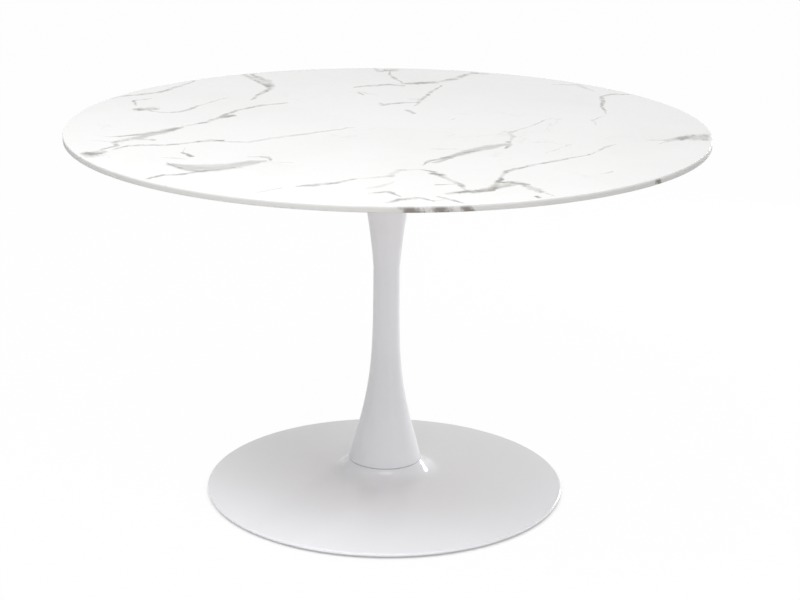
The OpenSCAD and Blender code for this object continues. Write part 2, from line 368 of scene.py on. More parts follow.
def shade(tree, surface, **plugs):
    """Links patterns to a surface's sockets."""
    for name, value in plugs.items():
        tree.links.new(value, surface.inputs[name.replace("_", " ")])


def start_material(name, **fixed):
    """A new material with one surface shader: returns it, its tree, the shader and Object coordinates."""
    material = bpy.data.materials.new(name)
    material.use_nodes = True
    tree = material.node_tree
    tree.nodes.clear()
    surface = tree.nodes.new("ShaderNodeBsdfPrincipled")
    for socket, value in fixed.items():
        surface.inputs[socket.replace("_", " ")].default_value = value
    out = tree.nodes.new("ShaderNodeOutputMaterial")
    tree.links.new(surface.outputs[0], out.inputs["Surface"])
    return material, tree, surface, wire(tree, "ShaderNodeTexCoord", out="Object")


def start_group(name, kind, inputs, output):
    """A new node group: returns the group, its input values by name and its output socket."""
    group = bpy.data.node_groups.new(name, kind)
    for label, (socket, default) in inputs.items():
        item = group.interface.new_socket(label, in_out="INPUT", socket_type=socket)
        if default is not None:
            item.default_value = default
    group.interface.new_socket(output[0], in_out="OUTPUT", socket_type=output[1])
    given = group.nodes.new("NodeGroupInput")
    result = group.nodes.new("NodeGroupOutput")
    return group, {label: given.outputs[label] for label in inputs}, result.inputs[0]


FLOAT, WHOLE, VECTOR = "NodeSocketFloat", "NodeSocketInt", "NodeSocketVector"
GEOMETRY, MATERIAL = "NodeSocketGeometry", "NodeSocketMaterial"


# ---------------------------------------------------------------- Geometry Nodes trees

def end_tree(tree, mesh, given, result):
    """Ends a tree with real geometry of one material."""
    mesh = wire(tree, "GeometryNodeRealizeInstances", {0: mesh})
    mesh = wire(tree, "GeometryNodeSetMaterial", {"Geometry": mesh, "Material": given["Material"]})
    tree.links.new(mesh, result)


def close_grid(tree, mesh, given, result):
    """Ends the tree of a swept grid: seams and poles closed, smooth faces, crisp creases."""
    mesh = wire(tree, "GeometryNodeMergeByDistance", {"Geometry": mesh, "Distance": SEAM})
    mesh = wire(tree, "GeometryNodeSetShadeSmooth", {0: mesh, "Shade Smooth": True}, domain="FACE")
    angle = wire(tree, "GeometryNodeInputMeshEdgeAngle", out="Unsigned Angle")
    crease = calc(tree, "GREATER_THAN", angle, given["Crease Angle"])
    crisp = {0: mesh, "Selection": crease, "Shade Smooth": False}
    mesh = wire(tree, "GeometryNodeSetShadeSmooth", crisp, domain="EDGE")
    end_tree(tree, mesh, given, result)


def sweep_grid(tree, rows, steps):
    """A grid with one column per step round the axis: returns it, each point's row and turn in radians."""
    plugs = {"Size X": 1.0, "Size Y": 1.0, "Vertices X": calc(tree, "ADD", steps, 1.0), "Vertices Y": rows}
    mesh = wire(tree, "GeometryNodeMeshGrid", plugs, out="Mesh")
    index = wire(tree, "GeometryNodeInputIndex")
    column = calc(tree, "FLOOR", calc(tree, "DIVIDE", calc(tree, "ADD", index, 0.5), rows))
    row = calc(tree, "SUBTRACT", index, calc(tree, "MULTIPLY", column, rows))
    turn = calc(tree, "MULTIPLY", calc(tree, "DIVIDE", column, steps), 2 * math.pi)
    return mesh, row, turn


def on_circle(tree, radius, turn, height):
    """The point at a radius, a turn round the Z axis and a height."""
    x = calc(tree, "MULTIPLY", radius, calc(tree, "COSINE", turn))
    y = calc(tree, "MULTIPLY", radius, calc(tree, "SINE", turn))
    return wire(tree, "ShaderNodeCombineXYZ", {"X": x, "Y": y, "Z": height})


def moved_to(tree, mesh, place):
    """The mesh with each of its points at a new place."""
    return wire(tree, "GeometryNodeSetPosition", {"Geometry": mesh, "Position": place})


def circle_curve(tree, points, radius):
    """A closed curve round the origin."""
    plugs = {"Resolution": points, "Radius": radius}
    return wire(tree, "GeometryNodeCurvePrimitiveCircle", plugs, mode="RADIUS")


def swept(tree, curve, section, caps):
    """A section drawn along a curve."""
    plugs = {"Curve": curve, "Profile Curve": section, "Fill Caps": caps}
    return wire(tree, "GeometryNodeCurveToMesh", plugs)


def lifted(tree, mesh, height):
    """The mesh moved up by a height."""
    up = wire(tree, "ShaderNodeCombineXYZ", {"Z": height})
    return wire(tree, "GeometryNodeTransform", {"Geometry": mesh, "Translation": up})


def turned_form_tree():
    """Turns an outline round the Z axis. Its points say how six-sided and how ribbed the form is there."""
    tree, given, result = start_group(
        "Turned Form",
        "GeometryNodeTree",
        {
            "Outline": (GEOMETRY, None),
            "Steps": (WHOLE, 96),
            "Rib Count": (WHOLE, 24),
            "Rib Depth": (FLOAT, 0.0),
            "Crease Angle": (FLOAT, CREASE),
            "Material": (MATERIAL, None),
        },
        ("Form", GEOMETRY),
    )
    plugs = {0: given["Outline"]}
    rows = wire(tree, "GeometryNodeAttributeDomainSize", plugs, out="Point Count", component="MESH")
    mesh, row, turn = sweep_grid(tree, rows, given["Steps"])

    def along(kind, value):
        plugs = {"Geometry": given["Outline"], "Value": value, "Index": row}
        return wire(tree, "GeometryNodeSampleIndex", plugs, out="Value", data_type=kind, domain="POINT")

    def mark(name):
        plugs = {"Name": name}
        kept = wire(tree, "GeometryNodeInputNamedAttribute", plugs, out="Attribute", data_type="FLOAT")
        return along("FLOAT", kept)

    place = along("FLOAT_VECTOR", wire(tree, "GeometryNodeInputPosition"))
    x, z = part_of(tree, place, "X"), part_of(tree, place, "Z")
    side = calc(tree, "SUBTRACT", calc(tree, "FLOORED_MODULO", turn, math.pi / 3), math.pi / 6)
    corner = calc(tree, "SUBTRACT", calc(tree, "DIVIDE", 1.0, calc(tree, "COSINE", side)), 1.0)
    radius = calc(tree, "MULTIPLY", x, calc(tree, "MULTIPLY_ADD", corner, mark("six_sided"), 1.0))
    ribs = calc(tree, "MULTIPLY", turn, given["Rib Count"])
    wave = calc(tree, "SUBTRACT", calc(tree, "COSINE", ribs), 1.0)
    depth = calc(tree, "MULTIPLY", given["Rib Depth"], mark("ribbed"))
    radius = calc(tree, "ADD", radius, calc(tree, "MULTIPLY", depth, calc(tree, "MULTIPLY", wave, 0.5)))
    mesh = moved_to(tree, mesh, on_circle(tree, radius, turn, z))
    close_grid(tree, mesh, given, result)
    return tree


def trumpet_radius_group():
    """The column's rule: its outer radius at a height."""
    inputs = {"Height": (FLOAT, 0.0)}
    for measure in ("Radius", "Height"):
        for place in ("Foot", "Waist", "Head"):
            inputs[f"{place} {measure}"] = (FLOAT, 0.1)
    for name in ("Foot Power", "Foot Ease", "Head Power"):
        inputs[name] = (FLOAT, 1.0)
    tree, given, result = start_group("Trumpet Radius", "GeometryNodeTree", inputs, ("Radius", FLOAT))

    def share(from_name, to_name, height):
        reach = calc(tree, "SUBTRACT", given[to_name], given[from_name])
        return calc(tree, "DIVIDE", calc(tree, "SUBTRACT", height, given[from_name]), reach, clamp=True)

    down = share("Waist Height", "Foot Height", given["Height"])
    up = share("Waist Height", "Head Height", given["Height"])
    ease = calc(tree, "MULTIPLY_ADD", calc(tree, "SUBTRACT", 1.0, down), given["Foot Ease"], 1.0)
    foot = calc(tree, "MULTIPLY", calc(tree, "POWER", down, given["Foot Power"]), ease)
    head = calc(tree, "POWER", up, given["Head Power"])
    radius = given["Waist Radius"]
    for part, wide in ((foot, given["Foot Radius"]), (head, given["Head Radius"])):
        flare = calc(tree, "SUBTRACT", wide, given["Waist Radius"])
        radius = calc(tree, "MULTIPLY_ADD", part, flare, radius)
    tree.links.new(radius, result)
    return tree


def trumpet_wall_tree(rule):
    """The column: an even sheet that follows the trumpet rule outside and runs back down inside."""
    names = [item.name for item in rule.interface.items_tree if item.in_out == "INPUT"]
    shape = {name: (FLOAT, 0.1) for name in names if name != "Height"}
    tree, given, result = start_group(
        "Trumpet Wall",
        "GeometryNodeTree",
        {
            "Seed": (GEOMETRY, None),
            **shape,
            "Wall": (FLOAT, 0.002),
            "Rows": (WHOLE, 120),
            "Steps": (WHOLE, 128),
            "Crease Angle": (FLOAT, CREASE),
            "Material": (MATERIAL, None),
        },
        ("Wall", GEOMETRY),
    )

    def radius_at(height):
        plugs = {"Height": height, **{name: given[name] for name in shape}}
        return wire(tree, "GeometryNodeGroup", plugs, node_tree=rule)

    both = calc(tree, "MULTIPLY_ADD", given["Rows"], 2.0, 1.0)
    mesh, row, turn = sweep_grid(tree, calc(tree, "ADD", both, 2.0), given["Steps"])
    rows_up = calc(tree, "MINIMUM", row, calc(tree, "SUBTRACT", both, row))
    share = calc(tree, "DIVIDE", rows_up, given["Rows"], clamp=True)
    tall = calc(tree, "SUBTRACT", given["Head Height"], given["Foot Height"])
    height = calc(tree, "MULTIPLY_ADD", share, tall, given["Foot Height"])
    past_top = calc(tree, "GREATER_THAN", row, calc(tree, "ADD", given["Rows"], 0.5))
    before_end = calc(tree, "LESS_THAN", row, calc(tree, "ADD", both, 0.5))
    inside = calc(tree, "MULTIPLY", past_top, before_end)
    probe = 0.0005
    middle = calc(tree, "MAXIMUM", height, calc(tree, "ADD", given["Foot Height"], probe))
    middle = calc(tree, "MINIMUM", middle, calc(tree, "SUBTRACT", given["Head Height"], probe))
    above, below = (radius_at(calc(tree, way, middle, probe)) for way in ("ADD", "SUBTRACT"))
    slope = calc(tree, "DIVIDE", calc(tree, "SUBTRACT", above, below), 2 * probe)
    across = calc(tree, "SQRT", calc(tree, "MULTIPLY_ADD", slope, slope, 1.0))
    back = calc(tree, "MULTIPLY", calc(tree, "MULTIPLY", across, given["Wall"]), inside)
    radius = calc(tree, "SUBTRACT", radius_at(height), back)
    mesh = moved_to(tree, mesh, on_circle(tree, radius, turn, height))
    close_grid(tree, mesh, given, result)
    return tree


def thread_tree():
    """A helical thread ridge, its crest at the outer radius. It is a hair narrower than its pitch."""
    tree, given, result = start_group(
        "Thread Ridge",
        "GeometryNodeTree",
        {
            "Seed": (GEOMETRY, None),
            "Outer Radius": (FLOAT, 0.004),
            "Pitch": (FLOAT, 0.00125),
            "Bottom": (FLOAT, 0.0),
            "Top": (FLOAT, 0.01),
            "Points per Turn": (WHOLE, 24),
            "Material": (MATERIAL, None),
        },
        ("Ridge", GEOMETRY),
    )
    ridge_share = 0.46
    half = calc(tree, "MULTIPLY", given["Pitch"], ridge_share)
    middle = calc(tree, "SUBTRACT", given["Outer Radius"], half)
    height = calc(tree, "SUBTRACT", calc(tree, "SUBTRACT", given["Top"], given["Bottom"]), given["Pitch"])
    plugs = {
        "Resolution": given["Points per Turn"],
        "Rotations": calc(tree, "DIVIDE", height, given["Pitch"]),
        "Start Radius": middle,
        "End Radius": middle,
        "Height": height,
    }
    curve = wire(tree, "GeometryNodeCurveSpiral", plugs)
    curve = wire(tree, "GeometryNodeSetCurveNormal", {"Curve": curve}, mode="Z_UP")
    mesh = swept(tree, curve, circle_curve(tree, 4, half), True)
    mesh = lifted(tree, mesh, calc(tree, "MULTIPLY_ADD", given["Pitch"], 0.5, given["Bottom"]))
    end_tree(tree, mesh, given, result)
    return tree


def ring_tree():
    """Copies of one part in a ring round the Z axis, the first one half a step on from +X."""
    tree, given, result = start_group(
        "Ring of Parts",
        "GeometryNodeTree",
        {
            "Part": (GEOMETRY, None),
            "Count": (WHOLE, 6),
            "Circle Diameter": (FLOAT, 0.1),
            "Material": (MATERIAL, None),
        },
        ("Ring", GEOMETRY),
    )
    radius = calc(tree, "MULTIPLY", given["Circle Diameter"], 0.5)
    line = wire(tree, "GeometryNodeMeshLine", {"Count": given["Count"]}, mode="OFFSET", count_mode="TOTAL")
    index = calc(tree, "ADD", wire(tree, "GeometryNodeInputIndex"), 0.5)
    turn = calc(tree, "MULTIPLY", calc(tree, "DIVIDE", index, given["Count"]), 2 * math.pi)
    line = moved_to(tree, line, on_circle(tree, radius, turn, 0.0))
    spin = wire(tree, "ShaderNodeCombineXYZ", {"Z": turn})
    plugs = {"Points": line, "Instance": given["Part"], "Rotation": spin}
    ring = wire(tree, "GeometryNodeInstanceOnPoints", plugs)
    end_tree(tree, ring, given, result)
    return tree


def weld_tree():
    """A fillet weld round the axis, its bead rippled where the puddle was set down."""
    tree, given, result = start_group(
        "Weld Bead",
        "GeometryNodeTree",
        {
            "Seed": (GEOMETRY, None),
            "Circle Diameter": (FLOAT, 0.1),
            "Height": (FLOAT, 0.0),
            "Bead Radius": (FLOAT, 0.002),
            "Ripples": (WHOLE, 90),
            "Material": (MATERIAL, None),
        },
        ("Bead", GEOMETRY),
    )
    points_per_ripple = 4.0
    points = calc(tree, "MULTIPLY", given["Ripples"], points_per_ripple)
    radius = calc(tree, "MULTIPLY", given["Circle Diameter"], 0.5)
    curve = circle_curve(tree, points, radius)
    curve = wire(tree, "GeometryNodeSetCurveNormal", {"Curve": curve}, mode="Z_UP")
    phase = calc(tree, "MODULO", wire(tree, "GeometryNodeInputIndex"), points_per_ripple)
    low_ripple, ripple_step = 0.85, 0.06
    swell = calc(tree, "MULTIPLY_ADD", phase, ripple_step, low_ripple)
    curve = wire(tree, "GeometryNodeSetCurveRadius", {"Curve": curve, "Radius": swell})
    mesh = swept(tree, curve, circle_curve(tree, 8, given["Bead Radius"]), False)
    mesh = lifted(tree, mesh, given["Height"])
    mesh = wire(tree, "GeometryNodeSetShadeSmooth", {0: mesh, "Shade Smooth": True}, domain="FACE")
    end_tree(tree, mesh, given, result)
    return tree


def tree_named(name, *parts):
    """The Geometry Nodes tree of that name, built the first time that it is asked for."""
    makers = {
        "Turned Form": turned_form_tree,
        "Trumpet Radius": trumpet_radius_group,
        "Trumpet Wall": trumpet_wall_tree,
        "Thread Ridge": thread_tree,
        "Ring of Parts": ring_tree,
        "Weld Bead": weld_tree,
    }
    return bpy.data.node_groups.get(name) or makers[name](*parts)


# ---------------------------------------------------------------- making pieces

def new_piece(name, mesh=None):
    """A new object at the origin."""
    piece = bpy.data.objects.new(name, mesh or bpy.data.meshes.new(name))
    bpy.context.scene.collection.objects.link(piece)
    return piece


def keep_result(piece):
    """Turns what a piece's modifiers make into its plain mesh."""
    depsgraph = bpy.context.evaluated_depsgraph_get()
    mesh = bpy.data.meshes.new_from_object(piece.evaluated_get(depsgraph), depsgraph=depsgraph)
    if not mesh.polygons:
        raise RuntimeError(f"{piece.name} came out empty")
    before = piece.data
    piece.modifiers.clear()
    piece.data = mesh
    bpy.data.meshes.remove(before)
    mesh.name = piece.name
    return piece


def run_tree(piece, tree, **values):
    """Runs a Geometry Nodes tree on a piece, with its inputs given by name."""
    modifier = piece.modifiers.new("Build", "NODES")
    modifier.node_group = tree
    sockets = {i.name: i.identifier for i in tree.interface.items_tree if i.in_out == "INPUT"}
    for name, value in values.items():
        modifier[sockets[name.replace("_", " ")]] = value
    return keep_result(piece)


def eased(corners, segments=4):
    """An outline through corners (radius, height, rounding, six-sided, ribbed), each rounded as it says."""
    full = [(*corner, *(0.0,) * (5 - len(corner))) for corner in corners]
    points = []
    for i, (r, z, rounding, *marks) in enumerate(full):
        if rounding == 0 or i in (0, len(full) - 1):
            points.append((r, z, *marks))
            continue
        here = Vector((r, z))
        back = (Vector(full[i - 1][:2]) - here).normalized()
        ahead = (Vector(full[i + 1][:2]) - here).normalized()
        half = back.angle(ahead) / 2
        start = here + back * rounding / math.tan(half)
        middle = here + (back + ahead).normalized() * rounding / math.sin(half)
        sweep = (start - middle).angle(here + ahead * rounding / math.tan(half) - middle)
        way = math.copysign(sweep, back.x * ahead.y - back.y * ahead.x)
        for step in range(segments + 1):
            turned = Matrix.Rotation(-way * step / segments, 2) @ (start - middle)
            points.append((*(middle + turned), *marks))
    return points


def ring_section(inner, outer, low, high, ease):
    """The closed outline of a flat ring with eased edges."""
    middle = (inner + outer) / 2
    corners = ((outer, low), (outer, high), (inner, high), (inner, low))
    return eased([(middle, low, 0), *((r, z, ease) for r, z in corners), (middle, low, 0)], 2)


def nut_section(bore, flats, low, high):
    """The closed outline of a hexagonal nut, its corners chamfered top and bottom."""
    half, cut = flats / 2, flats * 0.06
    middle, mouth, face = (bore + half) / 2, min(0.0006, bore * 0.12), half * 0.96
    return [
        (middle, low, 0, 0), (face, low, 0, 0), (half, low + cut, 1, 0), (half, high - cut, 1, 0),
        (face, high, 0, 0), (middle, high, 0, 0), (bore + mouth, high, 0, 0), (bore, high - mouth, 0, 0),
        (bore, low + mouth, 0, 0), (bore + mouth, low, 0, 0), (middle, low, 0, 0),
    ]


def outline_mesh(name, outline):
    """A string of edges through the outline, with its marks as attributes."""
    mesh = bpy.data.meshes.new(name)
    edges = [(i, i + 1) for i in range(len(outline) - 1)]
    mesh.from_pydata([(p[0], 0.0, p[1]) for p in outline], edges, [])
    for place, mark in enumerate(("six_sided", "ribbed"), 2):
        attribute = mesh.attributes.new(mark, "FLOAT", "POINT")
        attribute.data.foreach_set("value", [float(p[place]) if len(p) > place else 0.0 for p in outline])
    return mesh


def turned(name, outline, material, steps=96, **extra):
    """A piece turned from its outline, which runs outwards below, up outside and inwards above."""
    piece = new_piece(name, outline_mesh(name, outline))
    return run_tree(piece, tree_named("Turned Form"), Steps=steps, Material=material, **extra)


def thread(name, outer, pitch, bottom, top, material, points=24):
    """A helical thread ridge to lay round a core."""
    return run_tree(
        new_piece(name), tree_named("Thread Ridge"),
        Outer_Radius=outer, Pitch=pitch, Bottom=bottom, Top=top, Points_per_Turn=points, Material=material,
    )


def ring_of(piece, count, diameter, material):
    """Repeats a piece made on the axis round a circle."""
    return run_tree(
        piece, tree_named("Ring of Parts"), Count=count, Circle_Diameter=diameter, Material=material
    )


def joined(piece, *others):
    """Adds the meshes of other pieces to a piece."""
    merged = bmesh.new()
    for part in (piece, *others):
        merged.from_mesh(part.data)
    merged.to_mesh(piece.data)
    merged.free()
    for part in others:
        mesh = part.data
        bpy.data.objects.remove(part)
        bpy.data.meshes.remove(mesh)
    return piece


def shaded(piece):
    """Smooth faces with crisp edges."""
    piece.data.shade_smooth()
    piece.data.set_sharp_from_angle(angle=CREASE)
    return piece


def softened(name, node, ease, material):
    """A copy of a CAD node's mesh with its edges broken. Its level faces stay flat."""
    same_point, same_plane, sharp_edge, level = 0.00001, math.radians(0.5), math.radians(40), 0.9999
    mesh = frame["nodes"][node].data.copy()
    whole = bmesh.new()
    whole.from_mesh(mesh)
    bmesh.ops.remove_doubles(whole, verts=whole.verts, dist=same_point)
    bmesh.ops.dissolve_limit(whole, angle_limit=same_plane, verts=whole.verts, edges=whole.edges)
    whole.to_mesh(mesh)
    whole.free()
    mesh.materials.clear()
    mesh.materials.append(material)
    piece = new_piece(name, mesh)
    bevel = piece.modifiers.new("Broken Edges", "BEVEL")
    bevel.width, bevel.segments, bevel.limit_method, bevel.angle_limit = ease, 2, "ANGLE", sharp_edge
    shaded(keep_result(piece))
    for face in piece.data.polygons:
        face.use_smooth = abs(face.normal.z) < level
    return piece


def finish_piece(piece, body, slot, *nodes):
    """Hangs a finished piece on its CAD body in place of the CAD nodes that it stands for."""
    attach(piece, body)
    if nodes:
        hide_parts(*nodes)
    return piece


# ---------------------------------------------------------------- materials

# Courses of the main veins over the slab: points (x, y, half width), the places in metres and the half
# width in millimetres. Dark veins are the strongest, plain ones greyer, faint ones thin threads, and clouds
# broad and soft.
DARK_VEINS = (
    ((-0.48, 0.13, 8), (-0.46, 0.14, 9)),
    (
        (-0.31, 0.51, 4), (-0.28, 0.45, 4), (-0.25, 0.39, 5), (-0.24, 0.35, 4), (-0.26, 0.29, 3),
        (-0.27, 0.24, 3),
    ),
    ((-0.32, 0.06, 5), (-0.30, 0.08, 6)),
    ((-0.54, -0.27, 9), (-0.52, -0.26, 14), (-0.50, -0.24, 6)),
    ((-0.34, -0.15, 4), (-0.32, -0.14, 6), (-0.30, -0.14, 4)),
    ((-0.36, -0.24, 2), (-0.34, -0.27, 3)),
    ((-0.03, 0.59, 3), (-0.02, 0.56, 5)),
    ((-0.01, 0.57, 7), (0.01, 0.58, 9)),
    ((0.03, 0.42, 5), (0.06, 0.43, 9), (0.10, 0.44, 7)),
    ((0.08, -0.38, 6), (0.09, -0.39, 6)),
    ((0.10, -0.52, 4), (0.14, -0.50, 6), (0.17, -0.49, 5), (0.18, -0.45, 4), (0.19, -0.41, 3)),
    ((0.19, -0.44, 4), (0.21, -0.44, 7), (0.23, -0.45, 4)),
    ((0.23, -0.46, 4), (0.24, -0.48, 6), (0.25, -0.50, 5)),
    ((0.24, -0.53, 3), (0.25, -0.55, 4)),
    ((0.22, -0.13, 4), (0.22, -0.15, 3), (0.21, -0.18, 2)),
    ((0.61, -0.07, 24), (0.57, -0.07, 15), (0.54, -0.08, 10), (0.51, -0.10, 5)),
    ((0.45, -0.41, 3), (0.46, -0.42, 3)),
)
PLAIN_VEINS = (
    (
        (-0.56, 0.22, 3), (-0.53, 0.26, 4), (-0.49, 0.28, 5), (-0.46, 0.30, 4), (-0.43, 0.37, 4),
        (-0.40, 0.43, 3),
    ),
    ((-0.47, 0.24, 3), (-0.50, 0.22, 3), (-0.49, 0.17, 2)),
    ((-0.46, 0.12, 4), (-0.43, 0.10, 4), (-0.40, 0.11, 4), (-0.37, 0.17, 6)),
    ((-0.29, 0.51, 7), (-0.26, 0.44, 10), (-0.24, 0.38, 8)),
    ((-0.20, 0.21, 4), (-0.25, 0.18, 4), (-0.30, 0.12, 3), (-0.34, 0.02, 4), (-0.38, -0.02, 4)),
    ((-0.38, -0.03, 6), (-0.41, -0.06, 8), (-0.44, -0.09, 6), (-0.48, -0.11, 3), (-0.51, -0.12, 2)),
    (
        (-0.42, -0.14, 5), (-0.46, -0.13, 6), (-0.49, -0.16, 4), (-0.48, -0.19, 3), (-0.50, -0.22, 3),
        (-0.52, -0.25, 4),
    ),
    ((-0.48, -0.22, 3), (-0.46, -0.19, 4), (-0.40, -0.18, 4), (-0.34, -0.15, 4)),
    ((-0.38, -0.32, 2), (-0.34, -0.37, 4), (-0.31, -0.38, 4), (-0.26, -0.35, 3)),
    ((-0.24, -0.27, 4), (-0.21, -0.27, 3), (-0.20, -0.30, 2)),
    ((-0.40, -0.44, 5), (-0.37, -0.41, 4), (-0.34, -0.40, 4), (-0.31, -0.38, 3)),
    ((0.00, 0.56, 3), (0.01, 0.49, 3), (0.03, 0.43, 3)),
    ((-0.07, 0.38, 5), (-0.03, 0.40, 6), (0.00, 0.41, 5), (0.03, 0.40, 7)),
    ((0.10, 0.44, 6), (0.13, 0.47, 7), (0.16, 0.52, 5), (0.18, 0.55, 6), (0.21, 0.54, 6)),
    ((-0.06, 0.32, 5), (-0.05, 0.30, 4)),
    ((-0.02, 0.22, 3), (-0.01, 0.20, 5), (0.03, 0.22, 5), (0.06, 0.23, 3)),
    ((0.11, 0.41, 3), (0.09, 0.34, 3), (0.07, 0.27, 3), (0.06, 0.23, 3), (0.05, 0.19, 2)),
    ((0.04, 0.26, 4), (0.07, 0.26, 5)),
    ((0.06, -0.32, 2), (0.07, -0.29, 3), (0.10, -0.26, 5), (0.13, -0.22, 4), (0.16, -0.20, 3)),
    ((0.05, -0.35, 3), (0.08, -0.37, 4), (0.10, -0.42, 3), (0.12, -0.46, 4), (0.13, -0.49, 3)),
    ((0.08, -0.46, 4), (0.12, -0.45, 4)),
    ((-0.15, -0.48, 3), (-0.12, -0.47, 5), (-0.08, -0.45, 4), (-0.05, -0.42, 4)),
    ((-0.03, -0.52, 3), (0.00, -0.51, 4), (0.02, -0.54, 3)),
    ((0.00, -0.58, 4), (0.02, -0.56, 5), (0.05, -0.55, 4), (0.07, -0.57, 3)),
    ((0.08, -0.54, 4), (0.10, -0.56, 3), (0.12, -0.58, 3)),
    ((0.18, -0.47, 6), (0.20, -0.46, 5)),
    ((0.19, -0.41, 3), (0.20, -0.36, 4), (0.25, -0.31, 3), (0.30, -0.27, 3), (0.36, -0.22, 3)),
    ((0.49, 0.33, 6), (0.45, 0.33, 4), (0.43, 0.30, 3), (0.43, 0.24, 3), (0.42, 0.20, 2), (0.42, 0.13, 2)),
    ((0.51, -0.11, 3), (0.49, -0.13, 2)),
    ((0.43, -0.41, 3), (0.45, -0.42, 4)),
)
FAINT_VEINS = (
    ((-0.37, 0.17, 4), (-0.32, 0.26, 3)),
    ((-0.30, -0.15, 4), (-0.25, -0.15, 4), (-0.19, -0.10, 4), (-0.13, -0.06, 3), (-0.06, -0.01, 3)),
    ((-0.49, -0.16, 4), (-0.53, -0.15, 2)),
    ((-0.36, -0.20, 2), (-0.36, -0.24, 2)),
    ((-0.39, -0.28, 4), (-0.35, -0.29, 4)),
    ((-0.22, -0.31, 4), (-0.16, -0.31, 3)),
    ((-0.21, -0.52, 3), (-0.17, -0.49, 4)),
    ((-0.06, 0.33, 4), (-0.02, 0.30, 3)),
    ((0.12, 0.06, 3), (0.13, 0.08, 3)),
    ((-0.05, -0.42, 4), (0.00, -0.40, 4), (0.02, -0.36, 4), (0.05, -0.35, 4)),
    ((0.01, -0.44, 3), (-0.01, -0.47, 4), (-0.03, -0.49, 4)),
    ((0.07, -0.57, 3), (0.09, -0.56, 3)),
    ((0.36, -0.22, 2), (0.39, -0.16, 3), (0.41, -0.14, 3)),
    ((0.25, -0.50, 4), (0.27, -0.53, 3)),
    ((0.42, 0.12, 2), (0.39, 0.07, 3), (0.39, 0.03, 2)),
    ((0.34, 0.43, 4), (0.39, 0.43, 5), (0.42, 0.36, 3)),
    ((0.51, -0.10, 4), (0.47, -0.10, 3)),
    ((0.22, -0.14, 2), (0.23, -0.08, 3), (0.22, -0.05, 3), (0.26, 0.00, 2), (0.31, 0.09, 2)),
    ((0.28, -0.21, 2), (0.33, -0.14, 2)),
    ((0.08, -0.19, 5), (0.12, -0.19, 4)),
    ((0.36, -0.37, 3), (0.38, -0.35, 4)),
)
CLOUDS = (
    (
        (-0.37, -0.33, 8), (-0.34, -0.35, 20), (-0.31, -0.36, 27), (-0.27, -0.34, 20), (-0.23, -0.31, 12),
        (-0.21, -0.30, 5),
    ),
    ((0.10, -0.26, 6), (0.14, -0.21, 14), (0.18, -0.17, 16), (0.21, -0.15, 9)),
    ((-0.39, -0.04, 10), (-0.42, -0.08, 14), (-0.45, -0.12, 12)),
    ((0.04, 0.15, 5), (0.05, 0.12, 5)),
    ((0.14, -0.51, 8), (0.18, -0.47, 12), (0.21, -0.45, 10)),
    ((0.08, -0.30, 5), (0.11, -0.26, 6)),
)
# Each kind of vein: its courses, how strong it is, and the share of its width that its ends keep.
VEIN_KINDS = ((DARK_VEINS, 0.95, 1.0), (PLAIN_VEINS, 0.74, 0.5), (FAINT_VEINS, 0.42, 0.4))
# Where veins come out on the slab's edge: places round the rim and half widths.
RIM_VEINS = ((0.037, -0.60, 12), (0.083, -0.594, 14), (0.125, -0.587, 7), (0.455, -0.39, 6))


def vein_stroke_group():
    """How many half widths a point lies from one straight stroke of a vein."""
    tree, given, result = start_group(
        "Vein Stroke",
        "ShaderNodeTree",
        {
            "Point": (VECTOR, None),
            "Start": (VECTOR, None),
            "Along": (VECTOR, None),
            "Reach": (VECTOR, None),
            "Width": (FLOAT, 0.002),
            "Widening": (FLOAT, 0.0),
        },
        ("Widths Away", FLOAT),
    )
    away = aim(tree, "SUBTRACT", given["Point"], given["Start"])
    share = calc(tree, "MINIMUM", aim(tree, "DOT_PRODUCT", away, given["Reach"]), 1.0)
    share = calc(tree, "MAXIMUM", share, 0.0)
    off = aim(tree, "SUBTRACT", away, aim(tree, "SCALE", given["Along"], share))
    width = calc(tree, "MULTIPLY_ADD", share, given["Widening"], given["Width"])
    tree.links.new(calc(tree, "DIVIDE", aim(tree, "LENGTH", off), width), result)
    return tree


def nearest_vein(tree, stroke, point, courses, tip=1.0):
    """How many half widths a point lies from the nearest course, whose ends narrow to a share of theirs."""
    nearest = None
    for course in courses:
        (x, y, width), *middle, (last_x, last_y, last_width) = course
        course = ((x, y, width * tip), *middle, (last_x, last_y, last_width * tip))
        for (x, y, width), (next_x, next_y, next_width) in zip(course, course[1:]):
            along = Vector((next_x - x, next_y - y, 0.0))
            plugs = {
                "Point": point,
                "Start": (x, y, 0.0),
                "Along": along,
                "Reach": along / along.length_squared,
                "Width": width / 1000,
                "Widening": (next_width - width) / 1000,
            }
            away = wire(tree, "ShaderNodeGroup", plugs, node_tree=stroke)
            nearest = away if nearest is None else calc(tree, "MINIMUM", nearest, away)
    return nearest


